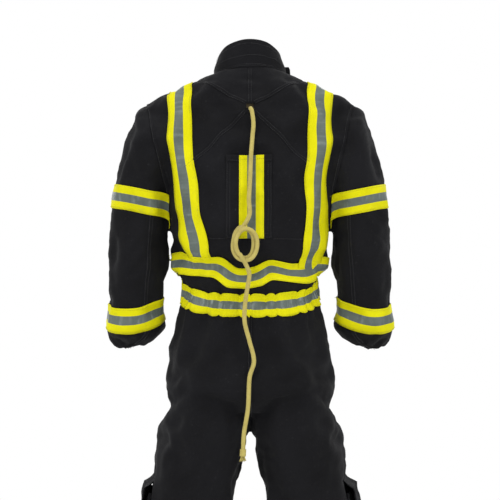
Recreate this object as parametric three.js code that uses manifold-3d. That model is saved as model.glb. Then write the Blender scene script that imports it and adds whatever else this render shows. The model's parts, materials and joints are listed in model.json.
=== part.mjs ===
// A one-piece rescue coverall as worn, with a stand collar and a back rescue rope, for
// search and rescue work. Millimetres, +Z up. The wearer faces -Y. The origin is between the
// shoulders at the base of the neck, where the wearer's shoulders carry the suit.
//
// Every cloth layer is an offset of the same lofted body surface, so layers never touch:
// liner, harness webbing, outer shell, reflective tape and pockets, from inside to outside.
import * as THREE from "three";
import { mergeVertices } from "three/addons/utils/BufferGeometryUtils.js";
import Module from "manifold-3d";

const wasm = await Module();
wasm.setup();

// ---------------------------------------------------------------- driving dimensions
const TRUNK_SIDES = 24; // facets round the trunk
const LIMB_SIDES = 12; // facets round a sleeve or leg
const FAR = 400; // reach of a cutting block past the cloth
const TOP = 400;
const BOTTOM = -1600;
const GAP = 0.4; // between pieces that meet edge to edge

// Inside and outside face of each layer, as offsets from the body surface.
const SHELL = [-1.8, 0];
const ELASTIC = [-4.0, -2.6];
const HARNESS = [-4.6, -2.6];
const LINER = [-10.4, -8.6];
const TAPE = [0.7, 1.7];

const TAPE_WIDTH = 50; // triple-trim reflective tape
const ROPE_RADIUS = 4.4;
const ROPE_GAP = 0.4; // between the rope and the cloth it lies on
const PORT_Z = -49; // the rope port, where the four back seams meet
const PORT_HALF = [9, 8]; // half width and half height
const WAIST_SEAM_Z = -436;
const ARMPIT_SEAM_Z = -232;

// The centre front is one straight line, because the zip runs down it.
const FRONT_DEPTH = 104; // at the neck
const FRONT_LEAN = 0.0554; // growth of the depth per millimetre down
const NECK_FRONT_Z = 10;
const frontDepth = (z) => FRONT_DEPTH + FRONT_LEAN * (NECK_FRONT_Z - z);

// Trunk sections: height, half width, back depth, squareness, tilt towards the back.
const TRUNK = [
  [26, 78, 62, 2.0, 0.3],
  [10, 118, 73, 2.0, 0.24],
  [-10, 165, 86, 2.0, 0.15],
  [-34, 214, 98, 2.1, 0.05],
  [-75, 208, 110, 2.6, 0],
  [-130, 196, 121, 2.9, 0],
  [-190, 182, 127, 2.9, 0],
  [-235, 172, 127, 2.8, 0],
  [-283, 167, 124, 2.6, 0],
  [-330, 159, 118, 2.4, 0],
  [-385, 145, 108, 2.3, 0],
  [-436, 143, 104, 2.2, 0],
  [-500, 155, 115, 2.2, 0],
  [-550, 166, 130, 2.3, 0],
  [-610, 173, 142, 2.3, 0],
  [-655, 177, 138, 2.3, 0],
];
// Under the seat the trunk closes towards the crotch: height, half width, share of the depth.
const CROTCH = [
  [-685, 178, 0.8],
  [-705, 176, 0.5],
];

// Sleeve sections of the wearer's left arm: outer point, inner point, half depth, depth centre.
const SLEEVE = [
  { outer: [217, -34], inner: [172, ARMPIT_SEAM_Z], depth: 86, y: 0 },
  { outer: [240, -56], inner: [173, -234], depth: 88, y: 0 },
  { outer: [258, -106], inner: [174, -236], depth: 86, y: 0 },
  { outer: [274, -165], inner: [174.5, -241], depth: 82, y: 0 },
  { outer: [286, -222], inner: [175, -254], depth: 77, y: 0 },
  { outer: [293, -280], inner: [177, -300], depth: 73, y: -4 },
  { outer: [297, -345], inner: [180, -354], depth: 70, y: -10 },
  { outer: [300, -410], inner: [186, -412], depth: 66, y: -18 },
  { outer: [301, -475], inner: [190, -475], depth: 62, y: -26 },
  { outer: [298, -522], inner: [194, -521], depth: 56, y: -31 },
  { outer: [280, -566], inner: [211, -566], depth: 37, y: -35 },
];
const SLEEVE_ROOT = 90; // how far the sleeve's loft reaches into the trunk

// Leg sections of the wearer's left leg: height, centre, half width, half depth, depth centre.
const LEG = [
  [-590, 84, 74, 118, 2],
  [-655, 90, 85, 124, 2],
  [-715, 96, 92, 124, 2],
  [-783, 110, 90, 114, 0],
  [-900, 127, 88, 103, -4],
  [-1000, 140, 85, 97, -8],
  [-1110, 154, 81, 91, -2],
  [-1250, 168, 77, 88, 5],
  [-1400, 180, 76, 88, 8],
];

// ---------------------------------------------------------------- materials
const material = (color, roughness, metalness = 0) =>
  new THREE.MeshStandardMaterial({ color, roughness, metalness });
const BLACK_CLOTH = material(0x1b1b1e, 0.9);
const LINER_CLOTH = material(0x5b5240, 0.95);
const WEBBING = material(0x8a7a3c, 0.85);
const HI_VIS = material(0xd8e000, 0.6);
const ROPE = material(0xc2a95a, 0.85);
const THREAD = material(0x2a2a2c, 0.8);
const RIB_KNIT = material(0x202024, 0.95);
const HOOK_LOOP = material(0x101012, 0.95);
const BRASS = material(0x8f7a45, 0.4, 1);

// ---------------------------------------------------------------- solids
const PAST = 15; // how far a cutter runs past an open end
const root = new THREE.Group();

function add(name, solid, look) {
  const m = solid.getMesh();
  const geometry = new THREE.BufferGeometry();
  geometry.setAttribute("position", new THREE.BufferAttribute(m.vertProperties, 3));
  geometry.setIndex(new THREE.BufferAttribute(m.triVerts, 1));
  const mesh = new THREE.Mesh(geometry, look);
  mesh.name = name;
  root.add(mesh);
}

// A closed three.js geometry as a manifold solid.
function solidFrom(geometry) {
  const bare = geometry.index ? geometry.toNonIndexed() : geometry.clone();
  bare.deleteAttribute("normal");
  bare.deleteAttribute("uv");
  const g = mergeVertices(bare, 1e-3);
  const vertProperties = new Float32Array(g.attributes.position.array);
  const triVerts = new Uint32Array(g.index.array);
  return new wasm.Manifold(new wasm.Mesh({ numProp: 3, vertProperties, triVerts }));
}

// Rings of points lofted into a closed body, with a fan over each end.
function loft(rings) {
  const n = rings[0].length;
  const points = rings.flat();
  const ends = [rings[0], rings[rings.length - 1]].map((ring) =>
    ring.reduce((sum, p) => sum.add(p), new THREE.Vector3()).divideScalar(n),
  );
  const faces = [];
  for (let r = 0; r + 1 < rings.length; r++) {
    for (let i = 0; i < n; i++) {
      const [a, b] = [r * n + i, r * n + ((i + 1) % n)];
      faces.push(a, b, b + n, a, b + n, a + n);
    }
  }
  const [first, last, base] = [points.length, points.length + 1, (rings.length - 1) * n];
  for (let i = 0; i < n; i++) {
    const j = (i + 1) % n;
    faces.push(first, j, i, last, base + i, base + j);
  }
  const vertProperties = new Float32Array([...points, ...ends].flatMap((p) => [p.x, p.y, p.z]));
  const made = (triVerts) =>
    new wasm.Manifold(new wasm.Mesh({ numProp: 3, vertProperties, triVerts }));
  const solid = made(new Uint32Array(faces));
  if (solid.volume() > 0) return solid;
  const flipped = faces.map((_, k) => faces[k - (k % 3) + [0, 2, 1][k % 3]]);
  return made(new Uint32Array(flipped));
}

// The same rings moved outwards along the surface's normals.
function offset(rings, distance) {
  const n = rings[0].length;
  const centre = (ring) =>
    ring.reduce((sum, p) => sum.add(p), new THREE.Vector3()).divideScalar(n);
  return rings.map((ring, r) => {
    const [below, above] = [rings[Math.max(r - 1, 0)], rings[Math.min(r + 1, rings.length - 1)]];
    const middle = centre(ring);
    return ring.map((p, i) => {
      const round = ring[(i + 1) % n].clone().sub(ring[(i + n - 1) % n]);
      const along = above[i].clone().sub(below[i]);
      const normal = round.cross(along).normalize();
      if (normal.dot(p.clone().sub(middle)) < 0) normal.negate();
      return p.clone().addScaledVector(normal, distance);
    });
  });
}

// The rings with one more copied past an end, so that a cutter runs through.
function pastEnd(ring, before) {
  const step = ring[0].clone().sub(before[0]).setLength(PAST);
  return ring.map((p) => p.clone().add(step));
}
const pastFirst = (rings) => [pastEnd(rings[0], rings[1]), ...rings];
const pastLast = (rings) => [...rings, pastEnd(rings[rings.length - 1], rings[rings.length - 2])];

const hollow = (rings, [inside, outside]) =>
  loft(offset(rings, outside)).subtract(loft(pastFirst(pastLast(offset(rings, inside)))));

function block(low, high) {
  const size = high.map((v, k) => v - low[k]);
  const g = new THREE.BoxGeometry(...size);
  g.translate(...low.map((v, k) => v + size[k] / 2));
  return solidFrom(g);
}

// A polygon in X and Z, extruded along Y.
function prism(outline, y0 = -FAR, y1 = FAR) {
  const shape = new THREE.Shape(outline.map(([x, z]) => new THREE.Vector2(x, z)));
  const g = new THREE.ExtrudeGeometry(shape, { depth: y1 - y0, bevelEnabled: false });
  g.rotateX(Math.PI / 2); // shape y becomes z, depth runs towards -Y
  g.translate(0, y1, 0);
  return solidFrom(g);
}

// A polygon in Y and Z, extruded along X.
function sidePrism(outline, x0 = -FAR, x1 = FAR) {
  const shape = new THREE.Shape(outline.map(([y, z]) => new THREE.Vector2(y, z)));
  const g = new THREE.ExtrudeGeometry(shape, { depth: x1 - x0, bevelEnabled: false });
  g.applyMatrix4(
    new THREE.Matrix4().makeBasis(
      new THREE.Vector3(0, 1, 0),
      new THREE.Vector3(0, 0, 1),
      new THREE.Vector3(1, 0, 0),
    ),
  );
  g.translate(x0, 0, 0);
  return solidFrom(g);
}

// The outline of a strip of a given width along a line of [x, z] points.
function strip(line, width) {
  const side = (sign) =>
    line.map(([x, z], i) => {
      const [a, b] = [line[Math.max(i - 1, 0)], line[Math.min(i + 1, line.length - 1)]];
      const length = Math.hypot(b[0] - a[0], b[1] - a[1]);
      const [dx, dz] = [(b[0] - a[0]) / length, (b[1] - a[1]) / length];
      return [x + (sign * dz * width) / 2, z - (sign * dx * width) / 2];
    });
  return [...side(1), ...side(-1).reverse()];
}

const mirrored = (solid) => solid.mirror([1, 0, 0]);
const bothSides = (name, solid, look) => {
  add(`${name}_left`, solid, look);
  add(`${name}_right`, mirrored(solid), look);
};

// ---------------------------------------------------------------- body surfaces
function superRing(sides, width, depthAt, squareness, place) {
  const ring = [];
  for (let i = 0; i < sides; i++) {
    const angle = (2 * Math.PI * i) / sides;
    const [s, c] = [Math.sin(angle), -Math.cos(angle)];
    const bend = (v) => Math.sign(v) * Math.abs(v) ** (2 / squareness);
    ring.push(place(width * bend(s), depthAt(c) * bend(c)));
  }
  return ring;
}

const trunkFront = (z, tilt) => frontDepth(z - tilt * FRONT_DEPTH);

function trunkRings() {
  const rings = TRUNK.map(([z, width, back, squareness, tilt]) => {
    const front = trunkFront(z, tilt);
    const depthAt = (c) => (c < 0 ? front : back);
    const place = (x, y) => new THREE.Vector3(x, y, z + tilt * y);
    return superRing(TRUNK_SIDES, width, depthAt, squareness, place);
  });
  const back = TRUNK[TRUNK.length - 1][2];
  for (const [z, width, share] of CROTCH) {
    const depthAt = (c) => share * (c < 0 ? frontDepth(z) : back);
    const place = (x, y) => new THREE.Vector3(x, y, z);
    rings.push(superRing(TRUNK_SIDES, width, depthAt, 2.3, place));
  }
  return rings;
}

// The armhole: its centre, its direction up the ring, and its normal away from the trunk.
const ARMHOLE = (() => {
  const { outer, inner } = SLEEVE[0];
  const length = Math.hypot(outer[0] - inner[0], outer[1] - inner[1]);
  const up = [(outer[0] - inner[0]) / length, (outer[1] - inner[1]) / length];
  const centre = [(outer[0] + inner[0]) / 2, (outer[1] + inner[1]) / 2];
  return { centre, up, out: [up[1], -up[0]] };
})();

function sleeveRings() {
  const ring = ({ outer, inner, depth, y }, shift = [0, 0]) => {
    const centre = [(outer[0] + inner[0]) / 2 + shift[0], (outer[1] + inner[1]) / 2 + shift[1]];
    const half = [(outer[0] - inner[0]) / 2, (outer[1] - inner[1]) / 2];
    const place = (across, dy) =>
      new THREE.Vector3(centre[0] + across * half[0], y + dy, centre[1] + across * half[1]);
    return superRing(LIMB_SIDES, 1, () => depth, 2.1, place);
  };
  const inward = ARMHOLE.out.map((v) => -v * SLEEVE_ROOT);
  return [ring(SLEEVE[0], inward), ...SLEEVE.map((s) => ring(s))];
}

const legRings = () =>
  LEG.map(([z, centre, width, depth, y]) =>
    superRing(LIMB_SIDES, width, () => depth, 2.3, (x, dy) =>
      new THREE.Vector3(centre + x, y + dy, z),
    ),
  );

const trunk = trunkRings();
const sleeve = sleeveRings();
const leg = legRings();

// One side of the armhole plane, moved outwards by a distance.
function armholeSide(sign, distance) {
  const { centre, up, out } = ARMHOLE;
  const at = (along, away) => [
    centre[0] + along * up[0] + away * out[0],
    centre[1] + along * up[1] + away * out[1],
  ];
  const far = distance + sign * FAR;
  return prism([at(-FAR, distance), at(FAR, distance), at(FAR, far), at(-FAR, far)]);
}

// Every second corner of each ring, for the layers that nobody sees.
const halved = (rings) => rings.map((ring) => ring.filter((_, i) => i % 2 === 0));

// Trunk, legs and the roots of the sleeves as one solid at an offset from the surface.
// The open one runs on past the neck, the ankles and the armholes.
function bodySolid(distance, open, thin = (rings) => rings) {
  const neckTo = (rings) => (open ? pastFirst(rings) : rings);
  const seat = offset(thin(trunk), distance);
  seat[seat.length - 1].forEach((p) => p.setZ(p.z - distance));
  const limb = offset(thin(leg), distance);
  const legSolid = loft(open ? pastLast(limb) : limb);
  const stub = loft(offset(thin(sleeve), distance)).intersect(armholeSide(-1, open ? 1 : 0));
  return loft(neckTo(seat)).add(legSolid).add(mirrored(legSolid)).add(stub).add(mirrored(stub));
}
const bodyLayer = ([inside, outside], thin) =>
  bodySolid(outside, false, thin).subtract(bodySolid(inside, true, thin));

const above = (z) => block([-FAR, -FAR, z], [FAR, FAR, TOP]);
const below = (z) => block([-FAR, -FAR, BOTTOM], [FAR, FAR, z]);
const between = (low, high) => block([-FAR, -FAR, low], [FAR, FAR, high]);
const leftOf = (x) => block([x, -FAR, BOTTOM], [FAR, FAR, TOP]);
const inFront = (y) => block([-FAR, -FAR, BOTTOM], [FAR, y, TOP]);
const behind = (y) => block([-FAR, y, BOTTOM], [FAR, FAR, TOP]);
const middle = (half, low, high) => block([-half, -FAR, low], [half, 0, high]);

// ---------------------------------------------------------------- outer shell
const ZIP_BOTTOM_Z = -640;
const ZIP_GAP_HALF = 14;
const zipGap = middle(ZIP_GAP_HALF, ZIP_BOTTOM_Z - 6, TOP);
const sleeveOutside = armholeSide(1, 0);
const armholeCutter = loft(offset(sleeve, GAP)).intersect(sleeveOutside);
const armholes = armholeCutter.add(mirrored(armholeCutter));
const shell = bodyLayer(SHELL).subtract(armholes);
const jacket = shell.intersect(above(WAIST_SEAM_Z + GAP / 2));
const trousers = shell.intersect(below(WAIST_SEAM_Z - GAP / 2));

// The back is cut along an X of seams that meets at the rope port.
const SEAM_REACH = 300;
const SEAM_RISE = 0.53; // slope of the seams that run up to the shoulders
const SEAM_FALL = 0.98; // slope of the seams that run down to the sides
const upEnd = [SEAM_REACH, PORT_Z + SEAM_RISE * SEAM_REACH];
const downEnd = [SEAM_REACH, PORT_Z - SEAM_FALL * SEAM_REACH];
const port = block(
  [-PORT_HALF[0], 0, PORT_Z - PORT_HALF[1]],
  [PORT_HALF[0], FAR, PORT_Z + PORT_HALF[1]],
);
const seamLines = [upEnd, downEnd].map((end) => prism(strip([[0, PORT_Z], end], GAP)));
const backSeams = seamLines.reduce((all, seam) => all.add(seam).add(mirrored(seam)), port);
const jacketBack = jacket.intersect(behind(GAP / 2)).subtract(backSeams);
const flip = ([x, z]) => [-x, z];
const centre = [0, PORT_Z];
const yoke = [centre, upEnd, [SEAM_REACH, TOP], [-SEAM_REACH, TOP], flip(upEnd)];
const lower = [centre, flip(downEnd), [-SEAM_REACH, BOTTOM], [SEAM_REACH, BOTTOM], downEnd];
add("back_yoke", jacketBack.intersect(prism(yoke)), BLACK_CLOTH);
add("lower_back_panel", jacketBack.intersect(prism(lower)), BLACK_CLOTH);
bothSides("shoulder_panel", jacketBack.intersect(prism([centre, downEnd, upEnd])), BLACK_CLOTH);

const frontLeft = inFront(-GAP / 2).intersect(leftOf(GAP / 2)).subtract(zipGap);
bothSides("front_panel", jacket.intersect(frontLeft), BLACK_CLOTH);
bothSides("trouser_front", trousers.intersect(frontLeft), BLACK_CLOTH);
const backLeft = behind(GAP / 2).intersect(leftOf(GAP / 2));
bothSides("trouser_back", trousers.intersect(backLeft), BLACK_CLOTH);

const sleeveHalf = armholeSide(1, GAP);
bothSides("sleeve", hollow(sleeve, SHELL).intersect(sleeveHalf), BLACK_CLOTH);

// ---------------------------------------------------------------- linings and elastic
const LINER_GAP_HALF = 22;
const linerGap = middle(LINER_GAP_HALF, ZIP_BOTTOM_Z - 10, TOP);
const linerCutter = loft(offset(halved(sleeve), LINER[1] + GAP)).intersect(sleeveOutside);
const liner = bodyLayer(LINER, halved)
  .subtract(linerCutter.add(mirrored(linerCutter)))
  .subtract(linerGap);
add("trunk_liner", liner.intersect(above(WAIST_SEAM_Z + GAP / 2)), LINER_CLOTH);
add("leg_liner", liner.intersect(below(WAIST_SEAM_Z - GAP / 2)), LINER_CLOTH);

const CUFF_Z = SLEEVE[SLEEVE.length - 1].outer[1];
const CUFF_ELASTIC = [CUFF_Z + 4, CUFF_Z + 26];
const sleeveLining = hollow(halved(sleeve), LINER).intersect(sleeveHalf);
bothSides("sleeve_liner", sleeveLining.intersect(above(CUFF_ELASTIC[1] + GAP)), LINER_CLOTH);
bothSides("cuff_elastic", hollow(sleeve, ELASTIC).intersect(between(...CUFF_ELASTIC)), RIB_KNIT);

const WAIST_ELASTIC = [WAIST_SEAM_Z - 20, WAIST_SEAM_Z + 20];
const trunkLayer = ([inside, outside], thin = (rings) => rings) =>
  loft(offset(thin(trunk), outside)).subtract(loft(pastFirst(offset(thin(trunk), inside))));
const waistElastic = trunkLayer(ELASTIC).intersect(between(...WAIST_ELASTIC));
add("waist_elastic", waistElastic.subtract(linerGap), RIB_KNIT);

// ---------------------------------------------------------------- rescue harness inside
// Webbing runs from the ring behind the port over each shoulder and down the front.
const STRAP_WIDTH = 42;
const RING_HALF = 15;
const STRAP_X = 92; // where a strap lies on the chest
const STRAP_END_Z = -330;
const strapBackLine = [
  [RING_HALF - 4, PORT_Z],
  [70, PORT_Z + 30],
  [STRAP_X, TOP],
];
const strapFrontLine = [
  [STRAP_X, TOP],
  [STRAP_X, STRAP_END_Z],
];
const strapBack = prism(strip(strapBackLine, STRAP_WIDTH), 0);
const strapFront = prism(strip(strapFrontLine, STRAP_WIDTH), -FAR, 0.01);
const webbing = trunkLayer(HARNESS)
  .intersect(strapBack.add(strapFront))
  .intersect(above(STRAP_END_Z));
const ringSpace = block([-RING_HALF, 0, PORT_Z - RING_HALF], [RING_HALF, FAR, PORT_Z + RING_HALF]);
bothSides("harness_strap", webbing.subtract(ringSpace), WEBBING);

// ---------------------------------------------------------------- reflective tape
const tapeLayer = bodyLayer(TAPE);
const FLAP_HALF = 36;
const flapSpace = middle(FLAP_HALF + 1, ZIP_BOTTOM_Z - 20, TOP);
const halfTape = TAPE_WIDTH / 2;

// Round the chest: nearly level at the sides and lower in the middle of the back.
const CHEST_SIDE_Z = -376;
const CHEST_WIDTH = TAPE_WIDTH - 8;
const CHEST_SAG = [
  [-FAR, 4],
  [-150, 4],
  [-110, -14],
  [-40, -3],
  [-20, -18],
  [10, -24],
  [38, -22],
  [64, 1],
  [118, 4],
  [150, 10],
  [FAR, 10],
];
const chestLine = CHEST_SAG.map(([x, rise]) => [x, CHEST_SIDE_Z + rise]);
const chestSpace = (width) =>
  prism(strip(chestLine, width), 0).add(
    block([-FAR, -FAR, CHEST_SIDE_Z - width / 2], [FAR, 0.01, CHEST_SIDE_Z + width / 2]),
  );
const chestTape = tapeLayer.intersect(chestSpace(CHEST_WIDTH));
add("chest_tape", chestTape.subtract(flapSpace), HI_VIS);

// Down each side of the back and the front, from the shoulder to the chest band. Both lines
// are given on the left, and the right one is mirrored like the panels under it.
const BRACE_X = 144;
const BRACES = {
  left: [[BRACE_X, TOP], [BRACE_X, -120], [132, -199], [124, -277], [97, CHEST_SIDE_Z]],
  right: [[BRACE_X, TOP], [BRACE_X, -133], [134, -191], [138, -258], [126, CHEST_SIDE_Z]],
};
for (const [side, line] of Object.entries(BRACES)) {
  const laid = tapeLayer.intersect(prism(strip(line, TAPE_WIDTH)));
  const brace = side === "left" ? laid : mirrored(laid);
  add(`brace_tape_${side}`, brace.subtract(chestSpace(CHEST_WIDTH + 3 * GAP)), HI_VIS);
}

// Round the gathered waist, lower behind than in front.
const WAIST_TAPE_Z = -440;
const WAIST_SLOPE = 0.14; // fall towards the back
const waistAt = (y) => WAIST_TAPE_Z - WAIST_SLOPE * y;
const waistBand = sidePrism([
  [-FAR, waistAt(-FAR) - halfTape + 3],
  [FAR, waistAt(FAR) - halfTape + 3],
  [FAR, waistAt(FAR) + halfTape - 3],
  [-FAR, waistAt(-FAR) + halfTape - 3],
]);
add("waist_tape", tapeLayer.intersect(waistBand).subtract(flapSpace), HI_VIS);

// Rings round the arms and the shins.
const SLEEVE_TAPES = [
  ["upper", [[400, -205], [100, -261.5]]],
  ["lower", [[400, -493], [100, -452]]],
];
for (const [place, line] of SLEEVE_TAPES) {
  const band = prism(strip(line, TAPE_WIDTH))
    .intersect(armholeSide(1, 1))
    .subtract(loft(offset(trunk, 2)));
  bothSides(`sleeve_tape_${place}`, hollow(sleeve, TAPE).intersect(band), HI_VIS);
}
const LEG_TAPE_Z = -1190;
const legBand = between(LEG_TAPE_Z - halfTape, LEG_TAPE_Z + halfTape);
bothSides("leg_tape", hollow(leg, TAPE).intersect(legBand), HI_VIS);

// ---------------------------------------------------------------- pockets
// A patch pocket stands off the cloth and is open along its top edge.
const PATCH = [0.5, 10.5];
const PATCH_WALL = 0.9;
const POCKET = { left: 49, right: -45, top: -147, bottom: -316 };
function patchPocket(surface, low, high, depth) {
  const [x0, y0, z0] = low;
  const [x1, y1, z1] = high;
  const wall = (v) => v + PATCH_WALL;
  const outside = surface(depth[1]).subtract(surface(depth[0])).intersect(block(low, high));
  const inside = surface(depth[1] - PATCH_WALL)
    .subtract(surface(depth[0] + PATCH_WALL))
    .intersect(block([wall(x0), y0, wall(z0)], [x1 - PATCH_WALL, y1, z1 + 1]));
  return outside.subtract(inside);
}
const trunkAt = (distance) => loft(offset(trunk, distance));
add(
  "back_pocket",
  patchPocket(
    trunkAt,
    [POCKET.right, 0, POCKET.bottom],
    [POCKET.left, FAR, POCKET.top],
    PATCH,
  ),
  BLACK_CLOTH,
);
const STRIP_X = -3; // the tape down the pocket is a little off the centre
const stripTape = trunkLayer([PATCH[1] + 0.3, PATCH[1] + 1.3]);
const stripSpace = block(
  [STRIP_X - halfTape, 0, POCKET.bottom],
  [STRIP_X + halfTape, FAR, POCKET.top],
);
add("back_strip_tape", stripTape.intersect(stripSpace), HI_VIS);

// A flap hangs over a pocket: a plate in front of it, and a top that meets the cloth.
const FLAP_DROP = 42;
const FLAP_THICK = 1.6;

// The chest pocket, on the wearer's right because the storm flap opens to the left.
const CHEST_POCKET = { outer: -96, inner: -44, top: -205, bottom: -310 };
add(
  "chest_pocket",
  patchPocket(
    trunkAt,
    [CHEST_POCKET.outer, -FAR, CHEST_POCKET.bottom],
    [CHEST_POCKET.inner, 0, CHEST_POCKET.top],
    PATCH,
  ),
  BLACK_CLOTH,
);
const CHEST_FLAP_TOP = CHEST_POCKET.top + 8;
const chestFlapSpace = block(
  [CHEST_POCKET.outer - 2, -FAR, CHEST_FLAP_TOP - FLAP_DROP],
  [CHEST_POCKET.inner + 2, 0, CHEST_FLAP_TOP],
);
const chestFlap = trunkLayer([PATCH[1] + 0.8, PATCH[1] + 0.8 + FLAP_THICK]);
add("chest_pocket_flap", chestFlap.intersect(chestFlapSpace), BLACK_CLOTH);

// The thigh pockets, on the outer side of each leg.
const THIGH = { front: -58, back: 44, top: -850, bottom: -1030, inside: 130 };
const THIGH_PATCH = [0.5, 20];
const legAt = (distance) => loft(offset(leg, distance));
const thighPocket = (() => {
  const { front, back, top, bottom, inside } = THIGH;
  const outer = legAt(THIGH_PATCH[1]).subtract(legAt(THIGH_PATCH[0]));
  const inner = legAt(THIGH_PATCH[1] - 2).subtract(legAt(THIGH_PATCH[0] + 2));
  return outer
    .intersect(block([inside, front, bottom], [FAR, back, top]))
    .subtract(inner.intersect(block([inside, front + 2, bottom + 2], [FAR, back - 2, top + 1])));
})();
bothSides("thigh_pocket", thighPocket, BLACK_CLOTH);
const THIGH_FLAP_TOP = THIGH.top + 10;
const THIGH_FLAP_DROP = 60;
const thighFlap = legAt(THIGH_PATCH[1] + 1 + FLAP_THICK)
  .subtract(legAt(THIGH_PATCH[1] + 1))
  .intersect(
    block(
      [THIGH.inside, THIGH.front - 3, THIGH_FLAP_TOP - THIGH_FLAP_DROP],
      [FAR, THIGH.back + 3, THIGH_FLAP_TOP],
    ),
  );
bothSides("thigh_pocket_flap", thighFlap, BLACK_CLOTH);

// ---------------------------------------------------------------- front closure
// A strip along the centre front: half widths, depths out from the cloth, and heights.
function frontStrip(x0, x1, out0, out1, low, high) {
  const y = (z, out) => -frontDepth(z) - out;
  const outline = [
    [y(low, out0), low],
    [y(low, out1), low],
    [y(high, out1), high],
    [y(high, out0), high],
  ];
  return sidePrism(outline, x0, x1);
}
const ZIP_TOP_Z = -24;
const TOOTH = { inside: 0.7, outside: 3, depth: [-6, -1.6] };
const ZIP_TAPE = { outside: 18, depth: [-5, -3.9] };
const zipTape = frontStrip(
  TOOTH.outside + GAP / 2,
  ZIP_TAPE.outside,
  ...ZIP_TAPE.depth,
  ZIP_BOTTOM_Z,
  ZIP_TOP_Z,
);
bothSides("zip_tape", zipTape, RIB_KNIT);
const zipTeeth = frontStrip(TOOTH.inside, TOOTH.outside, ...TOOTH.depth, ZIP_BOTTOM_Z + 4, ZIP_TOP_Z);
bothSides("zip_teeth", zipTeeth, BRASS);

// The slider holds both rows between two plates, joined by a thin bridge between the rows.
const SLIDER = { half: 5.5, length: 15, top: -32, bridge: 0.35, plate: 1.2 };
const sliderLow = SLIDER.top - SLIDER.length;
const frontPlate = [TOOTH.depth[1] + 0.4, TOOTH.depth[1] + 0.4 + SLIDER.plate];
const backPlate = [TOOTH.depth[0] - 0.4 - SLIDER.plate, TOOTH.depth[0] - 0.4];
const plate = (depth) => frontStrip(-SLIDER.half, SLIDER.half, ...depth, sliderLow, SLIDER.top);
const bridge = frontStrip(
  -SLIDER.bridge,
  SLIDER.bridge,
  backPlate[0] + 0.1,
  frontPlate[1] - 0.1,
  SLIDER.top - 4,
  SLIDER.top,
);
add("zip_slider", plate(frontPlate).add(plate(backPlate)).add(bridge), BRASS);
const PULL = { half: 3, length: 24, depth: [frontPlate[1] + 0.3, frontPlate[1] + 1.7] };
add(
  "zip_pull",
  frontStrip(-PULL.half, PULL.half, ...PULL.depth, SLIDER.top - 4 - PULL.length, SLIDER.top - 4),
  BRASS,
);

// The storm flap is sewn down on the wearer's left and covers the zip.
const FLAP_DEPTH = [2.8, 4.6];
const FLAP_TOP_Z = -26;
const stormFlap = frontStrip(-FLAP_HALF, FLAP_HALF, ...FLAP_DEPTH, ZIP_BOTTOM_Z - 6, FLAP_TOP_Z);
add("storm_flap", stormFlap, BLACK_CLOTH);
const FLAP_TAPE = [FLAP_DEPTH[1] + 0.3, FLAP_DEPTH[1] + 1.3];
const flapTape = (z) =>
  frontStrip(-FLAP_HALF, FLAP_HALF, ...FLAP_TAPE, z - CHEST_WIDTH / 2, z + CHEST_WIDTH / 2);
add("storm_flap_tape_chest", flapTape(CHEST_SIDE_Z), HI_VIS);
add("storm_flap_tape_waist", flapTape(waistAt(-frontDepth(WAIST_TAPE_Z))), HI_VIS);

// A flat hook-and-loop patch for a clip-on microphone, on the wearer's left chest.
const PATCH_FACE_Y = -116;
const micPatch = block([40, PATCH_FACE_Y, -200], [68, -80, -158]).subtract(trunkAt(0.5));
add("mic_patch", micPatch, HOOK_LOOP);

// ---------------------------------------------------------------- collar
// Sections: height at the sides, half width, front depth, back depth, tilt in front, behind.
const COLLAR = [
  [26.4, 78, 105, 62, 0.3, 0.3],
  [44, 77, 100, 61, 0.25, 0.42],
  [60, 68, 92, 59, 0.2, 0.66],
];
const collar = COLLAR.map(([z, width, front, back, tiltFront, tiltBack]) => {
  const depthAt = (c) => (c < 0 ? front : back);
  const place = (x, y) => new THREE.Vector3(x, y, z + (y < 0 ? tiltFront : tiltBack) * y);
  return superRing(TRUNK_SIDES, width, depthAt, 2.0, place);
});
const COLLAR_GAP_HALF = 9;
const collarGap = middle(COLLAR_GAP_HALF, -60, TOP);
add("collar_outer", hollow(collar, [-1.8, 0]).subtract(collarGap), BLACK_CLOTH);
add("collar_lining", hollow(collar, [-4, -2.2]).subtract(collarGap), LINER_CLOTH);

// The throat tab is sewn at the front and lies stowed round the right side of the collar.
const TAB = { front: -104, back: -12, height: 20, start: -24, thick: [0.6, 2.6] };
const tabLow = (y) => 34 + 0.28 * y;
const tabSide = sidePrism(
  [
    [TAB.front - 20, tabLow(TAB.front - 20)],
    [TAB.back, tabLow(TAB.back)],
    [TAB.back, tabLow(TAB.back) + TAB.height],
    [TAB.front - 20, tabLow(TAB.front - 20) + TAB.height],
  ],
  -FAR,
  TAB.start,
);
const collarAt = (distance) => loft(pastLast(offset(collar, distance)));
const tab = collarAt(TAB.thick[1]).subtract(collarAt(TAB.thick[0])).intersect(tabSide);
const TAB_LIP = { length: 2.2, thick: [1.6, 10] }; // the turned-out end, to take hold of
const tabEnd = collarAt(TAB_LIP.thick[1])
  .subtract(collarAt(TAB_LIP.thick[0]))
  .intersect(
    block(
      [-FAR, TAB.back - TAB_LIP.length, tabLow(TAB.back)],
      [TAB.start, TAB.back, tabLow(TAB.back) + TAB.height - 1],
    ),
  );
add("throat_tab", tab.add(tabEnd), BLACK_CLOTH);

// A loop inside the back of the collar, to hang the suit up by.
const LOOP = { half: 30, low: 52, high: 60, y: 52 };
const loopOuter = block([-LOOP.half, LOOP.y - 6, LOOP.low], [LOOP.half, LOOP.y - 4, LOOP.high]);
const loopEnd = block([-LOOP.half, LOOP.y - 6, LOOP.low], [-LOOP.half + 8, FAR, LOOP.high]);
const loopSpace = collarAt(-4.4);
add("hanger_loop", loopOuter.add(loopEnd).add(mirrored(loopEnd)).intersect(loopSpace), RIB_KNIT);

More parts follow.
